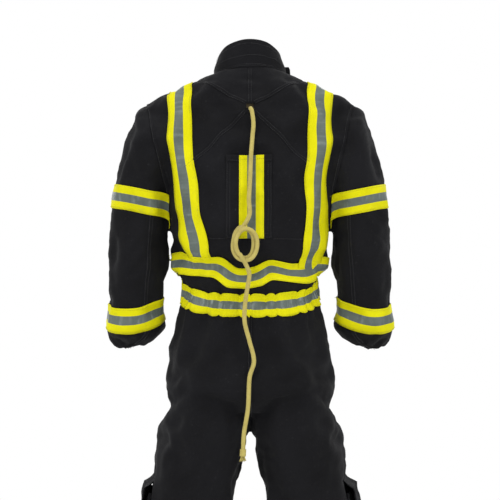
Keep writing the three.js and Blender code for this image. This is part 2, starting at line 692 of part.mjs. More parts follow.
// ---------------------------------------------------------------- rescue rope
const ROPE_SIDES = 8;
function tube(points, steps, radius) {
  const path = new THREE.CatmullRomCurve3(points.map((p) => new THREE.Vector3(...p)));
  const section = new THREE.Shape(
    Array.from({ length: ROPE_SIDES }, (_, i) => {
      const angle = (2 * Math.PI * i) / ROPE_SIDES;
      return new THREE.Vector2(radius * Math.cos(angle), radius * Math.sin(angle));
    }),
  );
  return solidFrom(new THREE.ExtrudeGeometry(section, { steps, extrudePath: path, bevelEnabled: false }));
}

// The rope leaves the port and runs down over the pocket's tape to the coil.
const overCloth = ROPE_RADIUS + ROPE_GAP;
const overTape = PATCH[1] + 1.3 + overCloth;
const ropeStart = [-1, 103 + ROPE_GAP, PORT_Z];
const ropeTop = [
  ropeStart,
  [-4, 112 + overCloth, PORT_Z - 8],
  [-7, 115 + overCloth, -82],
  [-5, 120 + overCloth, -110],
  [-2, 124 + overTape, -150],
  [0, 128 + overTape, -200],
  [2, 128 + overTape, -238],
  [1, 125 + overTape, -278],
];
add("rope_upper", tube(ropeTop, 22, ROPE_RADIUS), ROPE);

// Two or three turns gathered into one flat coil.
const COIL = { x: 10, z: -327, wide: 31, tall: 40, tube: 8, y: 146 };
const coilProfile = Array.from({ length: ROPE_SIDES + 1 }, (_, i) => {
  const angle = (2 * Math.PI * (i % ROPE_SIDES)) / ROPE_SIDES;
  const middle = COIL.tall - COIL.tube;
  return new THREE.Vector2(middle + COIL.tube * Math.cos(angle), COIL.tube * Math.sin(angle));
});
const coilRing = new THREE.LatheGeometry(coilProfile, 24);
coilRing.scale(COIL.wide / COIL.tall, 1, 1);
coilRing.translate(COIL.x, COIL.y, COIL.z);
add("rope_coil", solidFrom(coilRing), ROPE);

// The tail hangs clear of the waist, touches the seat and hangs free below it.
const seatY = 142 + overCloth;
const ropeTail = [
  [0, COIL.y - 2, COIL.z - COIL.tall - ROPE_GAP],
  [2, COIL.y - 2, -395],
  [9, COIL.y - 2, -442],
  [11, COIL.y - 1, -484],
  [1, COIL.y + 1, -525],
  [-8, seatY + 1, -565],
  [1, seatY + 1, -600],
  [4, seatY + 1, -660],
  [12, seatY, -711],
  [14, seatY, -748],
];
add("rope_tail", tube(ropeTail, 32, ROPE_RADIUS), ROPE);
const [tailX, tailY, tailZ] = ropeTail[ropeTail.length - 1];
const WHIPPING = 12;
const TUFT = 10;
const whipTop = tailZ - 0.8;
const whippingEnds = [
  [tailX, tailY, whipTop],
  [tailX, tailY, whipTop - WHIPPING],
];
const whipping = tube(whippingEnds, 1, ROPE_RADIUS + 0.4);
add("rope_whipping", whipping, THREAD);
const tuft = new THREE.CylinderGeometry(ROPE_RADIUS - 0.6, ROPE_RADIUS + 1.6, TUFT, ROPE_SIDES);
tuft.rotateX(Math.PI / 2);
tuft.translate(tailX, tailY, whipTop - WHIPPING - GAP - TUFT / 2);
add("rope_tuft", solidFrom(tuft), ROPE);

export default root;
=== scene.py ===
import json
import math

import bmesh
import bpy
import numpy as np
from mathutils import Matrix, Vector
from mathutils.bvhtree import BVHTree


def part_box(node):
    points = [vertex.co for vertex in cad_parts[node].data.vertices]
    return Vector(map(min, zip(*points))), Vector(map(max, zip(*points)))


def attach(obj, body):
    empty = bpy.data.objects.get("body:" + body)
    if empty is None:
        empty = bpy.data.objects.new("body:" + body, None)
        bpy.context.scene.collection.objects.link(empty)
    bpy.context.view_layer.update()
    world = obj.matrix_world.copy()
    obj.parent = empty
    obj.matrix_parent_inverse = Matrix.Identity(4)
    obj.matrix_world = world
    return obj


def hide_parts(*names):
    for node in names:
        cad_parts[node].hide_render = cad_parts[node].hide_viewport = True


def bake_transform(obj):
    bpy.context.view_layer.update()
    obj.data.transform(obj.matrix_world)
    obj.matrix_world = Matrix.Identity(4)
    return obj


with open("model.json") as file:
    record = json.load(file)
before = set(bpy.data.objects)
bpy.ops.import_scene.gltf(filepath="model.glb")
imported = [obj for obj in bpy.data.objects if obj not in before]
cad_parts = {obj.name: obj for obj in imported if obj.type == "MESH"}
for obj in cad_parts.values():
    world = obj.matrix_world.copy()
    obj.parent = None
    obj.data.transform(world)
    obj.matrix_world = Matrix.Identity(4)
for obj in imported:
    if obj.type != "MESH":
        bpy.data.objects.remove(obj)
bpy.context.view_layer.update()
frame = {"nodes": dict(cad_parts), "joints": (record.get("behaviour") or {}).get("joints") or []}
MM = 0.001
scene = bpy.context.scene

# ------------------------------------------------------------------ camera, light and floor
VIEW_CENTRE_Z = -340.5  # level with the middle of the picture
VIEW_WIDTH = 1025.0  # of the object that the picture takes in
VIEW_DISTANCE = 3000.0
BACK_SURFACE = 110.0  # depth at which the width is measured
SENSOR = 36.0

camera_data = bpy.data.cameras.new("camera")
camera_data.sensor_width = SENSOR
camera_data.lens = SENSOR * VIEW_DISTANCE / VIEW_WIDTH
camera_data.clip_end = 50
camera = bpy.data.objects.new("camera", camera_data)
camera.location = (0, (VIEW_DISTANCE + BACK_SURFACE) * MM, VIEW_CENTRE_Z * MM)
camera.rotation_euler = (math.radians(90), 0, math.radians(180))
scene.collection.objects.link(camera)
scene.camera = camera


def area_light(name, place, aim, size, power):
    data = bpy.data.lights.new(name, "AREA")
    data.shape = "RECTANGLE"
    data.size, data.size_y = size
    data.energy = power
    light = bpy.data.objects.new(name, data)
    light.location = place
    light.rotation_euler = (Vector(aim) - Vector(place)).to_track_quat("-Z", "Y").to_euler()
    scene.collection.objects.link(light)


MIDDLE = (0, 0, -0.45)
area_light("key", (1.9, 3.0, 1.9), MIDDLE, (1.6, 1.6), 46)
area_light("fill", (-2.4, 2.6, 0.9), MIDDLE, (2.0, 2.0), 26)
area_light("front_key", (-1.9, -3.0, 1.9), MIDDLE, (1.6, 1.6), 40)
area_light("front_fill", (2.4, -2.6, 0.6), MIDDLE, (2.0, 2.0), 24)
area_light("top", (0, 0.2, 2.8), MIDDLE, (2.5, 2.5), 20)
world = bpy.data.worlds.new("studio")
scene.world = world
world.use_nodes = True
world.node_tree.nodes["Background"].inputs["Color"].default_value = (1, 1, 1, 1)
world.node_tree.nodes["Background"].inputs["Strength"].default_value = 1.0
scene.view_settings.view_transform = "Standard"

# ------------------------------------------------------------------ reading the frame
NODES = frame["nodes"]
JOINTS = {joint["name"]: joint for joint in frame["joints"]}
SIDES_OF_BODY = {"left": 1, "right": -1}
JACKET = ["back_yoke", "lower_back_panel"]
JACKET += [part + side for part in ("shoulder_panel_", "front_panel_") for side in SIDES_OF_BODY]
TROUSERS = [part + side for part in ("trouser_front_", "trouser_back_") for side in SIDES_OF_BODY]


def read_verts(mesh):
    co = np.empty(len(mesh.vertices) * 3)
    mesh.vertices.foreach_get("co", co)
    return co.reshape(-1, 3) / MM


def write_verts(mesh, verts):
    mesh.vertices.foreach_set("co", (np.asarray(verts) * MM).ravel())
    mesh.update()


def joined(parts):
    """Several (vertices, faces) as one."""
    verts, faces, base = [], [], 0
    for v, f in parts:
        verts.append(v)
        faces += [tuple(i + base for i in face) for face in f]
        base += len(v)
    return np.vstack(verts), faces


def tree_of_meshes(meshes):
    """What rays are cast at: the surfaces of meshes, in millimetres."""
    verts, faces = joined([(read_verts(m), [tuple(f.vertices) for f in m.polygons]) for m in meshes])
    return BVHTree.FromPolygons([Vector(v) for v in verts.tolist()], faces)


def tree_of(*names):
    return tree_of_meshes([NODES[name].data for name in names])


def box_of(name):
    """The low and the high corner of a CAD node's box."""
    low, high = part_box(name)
    return np.array(low) / MM, np.array(high) / MM


def low_of(name):
    return box_of(name)[0]


def high_of(name):
    return box_of(name)[1]


def height_of(name):
    return high_of(name)[2] - low_of(name)[2]


def lengths_along(points):
    """How far along a path each of its points is."""
    return np.concatenate([[0], np.cumsum(np.linalg.norm(np.diff(points, axis=0), axis=1))])


def unit_rows(rows):
    return rows / np.maximum(np.linalg.norm(rows, axis=1), 1e-9)[:, None]


FAR = 600.0
SLIT = 1.5  # rays are cast this far either side of the place, so that none slips through a seam


def reach(tree, origin, direction, offset=(0, 0, 1)):
    """How far the outer surface is from origin in a direction, or None past an opening."""
    direction = Vector(direction)
    length = direction.length
    found = []
    for sign in (1, -1):
        start = Vector(origin) + sign * SLIT * Vector(offset) + direction / length * FAR
        place, _, _, distance = tree.ray_cast(start, -direction, FAR)
        if place is not None:
            found.append(FAR - distance)
    return max(found) if found else None


# ------------------------------------------------------------------ the body surface
WAIST_Z = high_of("trouser_back_left")[2]
ANKLE_Z = low_of("trouser_back_left")[2]
CUFF_Z = low_of("sleeve_left")[2]
ZIP_BOTTOM_Z = low_of("zip_tape_left")[2]
PORT_Z = low_of("back_yoke")[2]
SEAM_RISE = 0.53  # slope of the upper seams of the X on the back
SEAM_FALL = 0.98  # slope of the lower seams
NECK_TILT = 0.3
OFF_CENTRE = 20.0  # clear of the front opening

shoulder = JOINTS["shoulder_left"]
ARM_CENTRE = np.array((shoulder["pos_m"][0], shoulder["pos_m"][2])) / MM
ARM_OUT = np.array((abs(shoulder["axis"][0]), abs(shoulder["axis"][2])))
ARM_OUT = np.array((ARM_OUT[0], -ARM_OUT[1])) / np.linalg.norm(ARM_OUT)
ARM_UP = np.array((-ARM_OUT[1], ARM_OUT[0]))


def armhole_plane(side):
    """The middle of an armhole, and the way its sleeve leaves the trunk."""
    return np.array((side * ARM_CENTRE[0], 0, ARM_CENTRE[1])), np.array((side * ARM_OUT[0], 0, ARM_OUT[1]))


def armhole_x(z):
    """Half width at the armhole, the plane where the sleeve joins the trunk."""
    return ARM_CENTRE[0] - (z - ARM_CENTRE[1]) * ARM_OUT[1] / ARM_OUT[0]


trunk_tree = tree_of(*JACKET, *TROUSERS)
sleeve_tree = tree_of("sleeve_left")
leg_tree = tree_of("trouser_front_left", "trouser_back_left")
# From inside the sleeve's root, the armhole's top and bottom.
root = np.array((ARM_CENTRE[0] + 3 * ARM_OUT[0], 0, ARM_CENTRE[1] + 3 * ARM_OUT[1]))
up = np.array((ARM_UP[0], 0, ARM_UP[1]))
ARM_TOP = ARM_CENTRE + ARM_UP * reach(sleeve_tree, root, up, (0, 1, 0))
ARMPIT = ARM_CENTRE - ARM_UP * reach(sleeve_tree, root, -up, (0, 1, 0))
CROTCH_Z = leg_tree.ray_cast(Vector((3, 3, ANKLE_Z)), Vector((0, 0, 1)), FAR * 2)[0].z


def squareness_of(tree, z, width, depth, tilt):
    """How square a section is: 2 is an ellipse. It comes from where the diagonal meets the surface."""
    diagonal = np.array((width, depth, tilt * depth))
    share = reach(tree, (0, 0, z), diagonal) / np.linalg.norm(diagonal)
    return float(np.clip(-math.log(2) / math.log(share), 2.0, 3.0))


def trunk_section(z, width, tilt):
    back = reach(trunk_tree, (OFF_CENTRE, 0, z), (0, 1, tilt), (1, 0, 0)) / math.hypot(1, tilt)
    front = reach(trunk_tree, (OFF_CENTRE, 0, z), (0, -1, -tilt), (1, 0, 0)) / math.hypot(1, tilt)
    return (z, width, front, back, squareness_of(trunk_tree, z, width, back, tilt), tilt)


SHOULDER_SHARES = (0.0, 0.3, 0.64, 0.97)  # from the neck out to the top of the armhole
LEVEL_UNDER_ARM_TOP = 11.0  # below this the sections are level
CHEST_TOP_Z = -75.0
CROTCH_CLEAR = 70.0


def trunk_rows():
    """Sections from the neck to the crotch: height, half width, front and back depth, squareness, tilt."""
    rows = []
    level_z = ARM_TOP[1] - LEVEL_UNDER_ARM_TOP
    neck_half = high_of("collar_outer")[0]
    for share in SHOULDER_SHARES:
        x = neck_half + share * (ARM_TOP[0] - neck_half)
        z = trunk_tree.ray_cast(Vector((x, 3, FAR)), Vector((0, 0, -1)), FAR * 2)[0].z
        if rows:
            tilt = NECK_TILT * np.clip((z - level_z) / (rows[0][0] - level_z), 0, 1)
        else:
            z, tilt = z - 1, NECK_TILT
        rows.append(trunk_section(z, x, tilt))
    for z in np.linspace(CHEST_TOP_Z, CROTCH_Z + CROTCH_CLEAR, 18):
        side = reach(trunk_tree, (0, 4, z), (1, 0, 0))
        on_side = z < ARMPIT[1] and side is not None
        rows.append(trunk_section(z, side if on_side else armhole_x(z), 0))
    z, width, front, back, squareness, tilt = rows[-1]
    for lower, share in ((30, 0.8), (50, 0.5)):  # the seat rounds off between the legs
        rows.append((z - lower, width, share * front, share * back, squareness, 0))
    return smooth_rows(rows, 3)


def inner_x(tree, start, y, z):
    """Where a ray going out from near the middle first meets a limb."""
    return tree.ray_cast(Vector((start, y, z)), Vector((1, 0, 0)), FAR)[0].x


ROOT_INSIDE = 90.0  # how far the sleeve's tube starts inside the trunk
ROOT_CLEAR = 4.0  # of the first section, past the armhole's gap
FAN = (0.0, 0.14, 0.33, 0.66, 1.0)  # shares of the turn from the armhole's slope to nearly level
LEVEL_ANGLE = math.radians(16)
CUFF_RIM = 5.0


def sleeve_rows():
    """Sections from the armhole to the cuff: outer x and z, inner x and z, half depth, its centre."""
    steep = math.atan2(ARM_UP[1], ARM_UP[0])
    places = [(ARMPIT[1] - 22 * share**2.2 - 1, steep + (LEVEL_ANGLE - steep) * share) for share in FAN]
    last_z = places[-1][0]
    for share in np.linspace(0, 1, 8)[1:]:
        places.append((last_z + (CUFF_Z + CUFF_RIM - last_z) * share, LEVEL_ANGLE * max(0, 1 - 1.9 * share)))
    rows = []
    y = 0.0
    for z, angle in places:
        direction = np.array((math.cos(angle), 0, math.sin(angle)))
        for _ in range(3):  # each pass comes closer to the middle of the section's depth
            inner = inner_x(sleeve_tree, 0, y - 1, z)
            start = np.array((inner, y, z)) + (0 if rows else ROOT_CLEAR) * armhole_plane(1)[1]
            out = start + direction * reach(sleeve_tree, start, direction, (0, 1, 0))
            middle = ((inner + out[0]) / 2, y, (z + out[2]) / 2)
            back = reach(sleeve_tree, middle, (0, 1, 0))
            front = reach(sleeve_tree, middle, (0, -1, 0))
            y += (back - front) / 2
        rows.append((out[0], out[2], inner, z, (back + front) / 2, y))
    ox, oz, ix, iz, depth, y = rows[0]
    dx, dz = ARM_OUT * ROOT_INSIDE
    return smooth_rows([(ox - dx, oz - dz, ix - dx, iz - dz, depth, y)] + rows, 4)


def leg_rows():
    """Sections from the hip to the ankle: height, centre, half width, half depth, its centre."""
    rows = []
    for z in np.linspace(CROTCH_Z - 50, ANKLE_Z + 1, 9):
        outer = reach(leg_tree, (0, 4, z), (1, 0, 0))
        inner = inner_x(leg_tree, -1, 4, z)
        centre = (outer + inner) / 2
        back = reach(leg_tree, (centre + 3, 0, z), (0, 1, 0))
        front = reach(leg_tree, (centre + 3, 0, z), (0, -1, 0))
        rows.append((z, centre, (outer - inner) / 2, (back + front) / 2, (back - front) / 2))
    z, centre, width, depth, y = rows[0]
    hips = [
        (z + 180, centre * 0.78, width * 0.82, depth * 1.03, y),
        (z + 60, centre * 0.88, width, depth * 1.08, y),
    ]
    return smooth_rows(hips + rows, 4)


def smooth_rows(rows, steps):
    """The rows with more between them, on a curve through them all."""
    rows = np.array(rows, float)
    padded = np.vstack([2 * rows[0] - rows[1], rows, 2 * rows[-1] - rows[-2]])
    out = []
    for i in range(1, len(padded) - 2):
        a, b, c, d = padded[i - 1 : i + 3]
        for t in np.linspace(0, 1, steps, endpoint=False):
            squared = (2 * a - 5 * b + 4 * c - d) * t**2
            cubed = (3 * b - a - 3 * c + d) * t**3
            out.append(0.5 * (2 * b + (c - a) * t + squared + cubed))
    return np.array(out + [rows[-1]])


def bent(v, squareness):
    return np.sign(v) * np.abs(v) ** (2 / squareness)


def ring_angles(sides):
    a = np.arange(sides) * 2 * np.pi / sides
    return np.sin(a), -np.cos(a)


def trunk_ring(row, sides):
    z, width, front, back, squareness, tilt = row
    s, c = ring_angles(sides)
    x = width * bent(s, squareness)
    y = np.where(c < 0, front, back) * bent(c, squareness)
    return np.stack([x, y, z + tilt * y], 1)


SLEEVE_SQUARENESS = 2.1
LEG_SQUARENESS = 2.3


def sleeve_ring(row, sides):
    ox, oz, ix, iz, depth, y = row
    s, c = ring_angles(sides)
    across = bent(s, SLEEVE_SQUARENESS)
    x = (ox + ix) / 2 + across * (ox - ix) / 2
    z = (oz + iz) / 2 + across * (oz - iz) / 2
    return np.stack([x, y + depth * bent(c, SLEEVE_SQUARENESS), z], 1)


def leg_ring(row, sides):
    z, centre, width, depth, y = row
    s, c = ring_angles(sides)
    x = centre + width * bent(s, LEG_SQUARENESS)
    return np.stack([x, y + depth * bent(c, LEG_SQUARENESS), np.full(sides, z)], 1)


def tube_mesh(rings):
    """Vertices and faces of rings lofted into a closed tube."""
    n = len(rings[0])
    verts = np.vstack(rings)
    faces = []
    for r in range(len(rings) - 1):
        for i in range(n):
            a, b = r * n + i, r * n + (i + 1) % n
            faces.append((a, b, b + n, a + n))
    last = (len(rings) - 1) * n
    faces.append(tuple(range(n))[::-1])
    faces.append(tuple(range(last, last + n)))
    return verts, faces


def flipped_x(verts):
    return verts * np.array((-1, 1, 1))


def mesh_of(name, verts, faces):
    mesh = bpy.data.meshes.new(name)
    mesh.from_pydata((np.asarray(verts) * MM).tolist(), [], faces)
    mesh.update()
    return mesh


def object_of(name, mesh):
    obj = bpy.data.objects.new(name, mesh)
    scene.collection.objects.link(obj)
    return obj


def modified_mesh(obj):
    """What obj's modifiers make of its mesh. They are taken off obj."""
    depsgraph = bpy.context.evaluated_depsgraph_get()
    mesh = bpy.data.meshes.new_from_object(obj.evaluated_get(depsgraph))
    obj.modifiers.clear()
    return mesh


SIDES = 72
TRUNK_ROWS, SLEEVE_ROWS, LEG_ROWS = trunk_rows(), sleeve_rows(), leg_rows()
NECK_Z = TRUNK_ROWS[0][0]
trunk_tube = tube_mesh([trunk_ring(r, SIDES) for r in TRUNK_ROWS])
sleeve_tube = tube_mesh([sleeve_ring(r, SIDES) for r in SLEEVE_ROWS])
leg_tube = tube_mesh([leg_ring(r, SIDES) for r in LEG_ROWS])
right_sleeve = (flipped_x(sleeve_tube[0]), [f[::-1] for f in sleeve_tube[1]])
right_leg = (flipped_x(leg_tube[0]), [f[::-1] for f in leg_tube[1]])


def at_cuff(c):
    return abs(c.x) > SLEEVE_ROWS[-1][2] - 22 and abs(c.z - CUFF_Z) < 45


def skin_object(name, voxel, rounds):
    """Trunk, sleeves and legs as one smooth skin, open at the neck, cuffs and ankles."""
    tubes = [trunk_tube, sleeve_tube, right_sleeve, leg_tube, right_leg]
    obj = object_of(name, mesh_of(name, *joined(tubes)))
    remesh = obj.modifiers.new("remesh", "REMESH")
    remesh.mode = "VOXEL"
    remesh.voxel_size = voxel * MM
    smooth = obj.modifiers.new("smooth", "SMOOTH")
    smooth.iterations = rounds
    smooth.factor = 0.5
    obj.data = modified_mesh(obj)
    bm = bmesh.new()
    bm.from_mesh(obj.data)
    cut(bm, (0, 0, NECK_Z - 1), (0, -NECK_TILT, 1), lambda c: c.z > NECK_Z - 60, drop=True)
    cut(bm, (0, 0, CUFF_Z + CUFF_RIM - 2), (0, 0, -1), at_cuff, drop=True)
    cut(bm, (0, 0, ANKLE_Z + 2), (0, 0, -1), lambda c: c.z < ANKLE_Z + 40, drop=True)
    bmesh.ops.delete(bm, geom=[v for v in bm.verts if not v.link_faces], context="VERTS")
    bm.to_mesh(obj.data)
    bm.free()
    return obj


def middle_of(face):
    return face.calc_center_median() / MM


def cut(bm, point, normal, near, drop=False):
    """Cuts the faces whose middle is near by a plane. drop removes what lies on the normal's side."""
    faces = [f for f in bm.faces if near(middle_of(f))]
    geom = faces + list({e for f in faces for e in f.edges}) + list({v for f in faces for v in f.verts})
    co, no = Vector(point) * MM, Vector(normal).normalized()
    bmesh.ops.bisect_plane(bm, geom=geom, dist=0.00002, plane_co=co, plane_no=no)
    if drop:
        near_faces = [f for f in bm.faces if near(middle_of(f))]
        gone = [f for f in near_faces if (f.calc_center_median() - co).dot(no) > 0]
        bmesh.ops.delete(bm, geom=gone, context="FACES")


# ------------------------------------------------------------------ how the cloth hangs
FRAMES = 24
FOLD_VOXEL = 12.0
EASE = 0.045  # how much bigger the cloth is than the form it hangs on
FOLD_CAP = 13.0
LOOSE_HOLD = 0.12  # where the cloth hangs free
FLAT_UNDER_ZIP = 20.0  # how far below the zip the cloth is held flat
TRUNK_X = 165.0  # past the trunk at the waist, and short of the arms
ARM_X = 186.0  # further out than the trunk, above the hips
ARM_Z = -640.0  # lower than the arms reach


def on_arm(x, z):
    return (np.abs(x) > ARM_X) & (z > ARM_Z)


def hold_weights(verts):
    """1 where the cloth is sewn tight, and near 0 where it hangs."""

    def near(distance, width):
        return np.clip(1.3 - distance / width, 0, 1)

    x, y, z = verts.T
    at_neck = near(np.abs(z - NECK_TILT * y - NECK_Z), 30)
    at_cuffs = np.where(on_arm(x, z), near(z - CUFF_Z, 16), 0)
    at_ankles = near(z - ANKLE_Z, 8)
    at_waist = np.where(np.abs(x) < TRUNK_X, near(np.abs(z - WAIST_Z + 4), 16), 0)
    at_zip = np.where((y < 0) & (z > ZIP_BOTTOM_Z - FLAT_UNDER_ZIP), near(np.abs(x), 40), 0)
    at_port = np.where(y < 0, 0, 0.5 * near(np.hypot(x, z - PORT_Z), 40))
    loose = np.full(len(verts), LOOSE_HOLD)
    return np.maximum.reduce([loose, at_neck, at_cuffs, at_ankles, at_waist, at_zip, at_port])


FOLD_SHARE = 1.9  # of the folds that the simulation makes
SWELL_SHARE = 0.2  # of how much it swells the form as a whole
SLIDE_SHARE = 0.3  # of the cloth's movement along itself


def spread_out(mesh, values, rounds):
    """Values at a mesh's points, averaged with their neighbours so that only what varies slowly is left."""
    edges = np.array([e.vertices for e in mesh.edges])
    count = np.zeros(len(values))
    np.add.at(count, edges[:, 0], 1)
    np.add.at(count, edges[:, 1], 1)
    for _ in range(rounds):
        total = np.zeros_like(values)
        np.add.at(total, edges[:, 0], values[edges[:, 1]])
        np.add.at(total, edges[:, 1], values[edges[:, 0]])
        values = 0.5 * values + 0.5 * total / np.maximum(count, 1)[:, None]
    return values


def hung_cloth():
    """The form's faces, where they start, and how far the cloth moves as it is let go."""
    obj = skin_object("fold_form", FOLD_VOXEL, 4)
    start = read_verts(obj.data)
    group = obj.vertex_groups.new(name="hold")
    for i, w in enumerate(hold_weights(start)):
        group.add([i], float(w), "REPLACE")
    cloth = obj.modifiers.new("cloth", "CLOTH")
    settings = cloth.settings
    settings.quality = 6
    settings.mass = 0.25
    settings.tension_stiffness = 25
    settings.compression_stiffness = 25
    settings.shear_stiffness = 10
    settings.bending_stiffness = 1.2
    settings.air_damping = 3
    settings.shrink_min = -EASE
    settings.vertex_group_mass = "hold"
    settings.pin_stiffness = 1.0
    settings.effector_weights.gravity = 0.1
    cloth.collision_settings.use_collision = False
    cloth.point_cache.frame_start = 1
    cloth.point_cache.frame_end = FRAMES
    for step in range(1, FRAMES + 1):
        scene.frame_set(step)
    obj.data = modified_mesh(obj)
    end = read_verts(obj.data)
    scene.frame_set(1)
    move = end - start
    swell = spread_out(obj.data, move, 40)
    move = FOLD_SHARE * (move - swell) + SWELL_SHARE * swell
    size = np.linalg.norm(move, axis=1)
    move *= (FOLD_CAP * np.tanh(size / FOLD_CAP) / np.maximum(size, 1e-6))[:, None]
    return obj, start, move


def finer(obj, verts):
    """The same faces at these places, each split in four on a smooth surface."""
    write_verts(obj.data, verts)
    subsurf = obj.modifiers.new("finer", "SUBSURF")
    subsurf.levels = 1
    return modified_mesh(obj)


fold_form, fold_start, fold_move = hung_cloth()
fold_faces = [tuple(f.vertices) for f in fold_form.data.polygons]
fine_start = finer(fold_form, fold_start)
fine_end = finer(fold_form, fold_start + fold_move)
start_verts = read_verts(fine_start)
move_verts = read_verts(fine_end) - start_verts
form_normals = np.array([v.normal for v in fine_start.vertices])
outwards = (move_verts * form_normals).sum(1)[:, None] * form_normals
move_verts = outwards + SLIDE_SHARE * (move_verts - outwards)
fine_start.calc_loop_triangles()
triangles = [tuple(t.vertices) for t in fine_start.loop_triangles]
form_tree = BVHTree.FromPolygons([Vector(v) for v in start_verts.tolist()], triangles)
bpy.data.objects.remove(fold_form)

# Random but repeatable small creases: waves in fixed directions, of these lengths and heights.
CREASE_SIZES = [(70, 0.9), (62, 0.9), (48, 0.7), (41, 0.6), (33, 0.4), (27, 0.35), (21, 0.25), (17, 0.2)]
rng = np.random.default_rng(7)
CREASES = [
    (rng.normal(size=3), rng.uniform(0, 2 * np.pi), length, height)
    for length, height in CREASE_SIZES
]


def small_creases(verts):
    total = np.zeros(len(verts))
    for direction, phase, length, height in CREASES:
        wave = verts @ (direction / np.linalg.norm(direction)) * 2 * np.pi / length + phase
        bend = 1.2 * np.sin(verts @ np.roll(direction, 1) / 55 + phase)
        total += height * np.sin(wave + bend)
    return total


WAIST_HALF = high_of("waist_tape")[0]
WAIST_RISE = 15.0  # of the drawn-in line at the sides, over the middle


def waist_line(x, y):
    return WAIST_Z - 0.14 * y + WAIST_RISE * np.clip(np.abs(x) / WAIST_HALF, 0, 1) ** 4


def pleats(round_waist):
    """Puffs of uneven width with narrow furrows between them, from -1 in a furrow to about 0.8."""
    turn = round_waist / 27 + 0.5 * np.sin(round_waist / 37) + 0.22 * np.sin(round_waist / 11.3 + 1)
    return 1.8 * np.abs(np.sin(np.pi * turn)) ** 0.55 - 1


WAIST_ROUND = 135.0  # radius that turns angles round the trunk into lengths
CUFF_ROUND = 38.0
CUFF_CENTRE = (240.0, -33.0)
PLEAT_HIGH = 2.7
CUFF_PLEAT_HIGH = 2.2


def bell(distance, width):
    return np.exp(-((distance / width) ** 2))


def waist_gathers(x, y, z):
    round_waist = np.arctan2(x, -y) * WAIST_ROUND
    below = z - waist_line(x, y) - 4
    pleat = pleats(round_waist) + 0.22 * np.sin(2 * np.pi * round_waist / 9.5 + 1.3)
    out = PLEAT_HIGH * bell(below, np.where(below > 0, 40, 62)) * pleat
    # Wider, softer folds rise a little over the back, and fall from the gathers over the seat.
    wide = np.where(below > 0, bell(below - 20, 50), bell(below + 70, 75))
    out += 2.0 * wide * np.sin(2 * np.pi * round_waist / 52 + 1.1 * np.sin(round_waist / 70 + z / 90))
    # The cloth bags out above the elastic, which draws it in.
    return out + 7.0 * bell(below - 46, 24) - 3.5 * bell(below, 17)


def cuff_gathers(x, y, z):
    round_cuff = np.arctan2(np.abs(x) - CUFF_CENTRE[0], CUFF_CENTRE[1] - y) * CUFF_ROUND
    above = z - CUFF_Z
    pleat = np.sin(2 * np.pi * (round_cuff / 13 + 0.4 * np.sin(round_cuff / 19 + np.sign(x))))
    return CUFF_PLEAT_HIGH * bell(above, 38) * pleat + 5.0 * bell(above - 62, 26)


def gathers(verts):
    """How far the gathered cloth at the waist and the cuffs stands out from the smooth form."""
    x, y, z = verts.T
    beside_zip = np.where(y < 0, np.clip((np.abs(x) - 20) / 30, 0, 1), 1)
    return np.where(on_arm(x, z), cuff_gathers(x, y, z), beside_zip * waist_gathers(x, y, z))


def from_zip(verts):
    """How far points are from the zip, which holds the cloth flat."""
    x, y, z = verts.T
    return np.where((y < 0) & (z > ZIP_BOTTOM_Z - FLAT_UNDER_ZIP), np.abs(x), FAR)


def hang(verts):
    """Where points on or near the smooth form go when the cloth hangs in folds."""
    verts = np.asarray(verts, float)
    push = gathers(verts) + small_creases(verts) * np.clip(from_zip(verts) / 30 - 0.6, 0, 1)
    out = np.empty_like(verts)
    for i, p in enumerate(verts):
        place, normal, index, _ = form_tree.find_nearest(Vector(p))
        corners = list(triangles[index])
        weights = weights_in(np.array(place), *start_verts[corners])
        out[i] = p + weights @ move_verts[corners] + np.array(normal) * push[i]
    return out


def weights_in(p, a, b, c):
    """Shares of a triangle's corners a, b and c that make up the point p."""
    u, v, w = b - a, c - a, p - a
    uu, uv, vv, wu, wv = u @ u, u @ v, v @ v, w @ u, w @ v
    d = uu * vv - uv * uv
    if abs(d) < 1e-12:
        return np.array((1.0, 0.0, 0.0))
    s, t = (vv * wu - uv * wv) / d, (uu * wv - uv * wu) / d
    return np.array((1 - s - t, s, t))


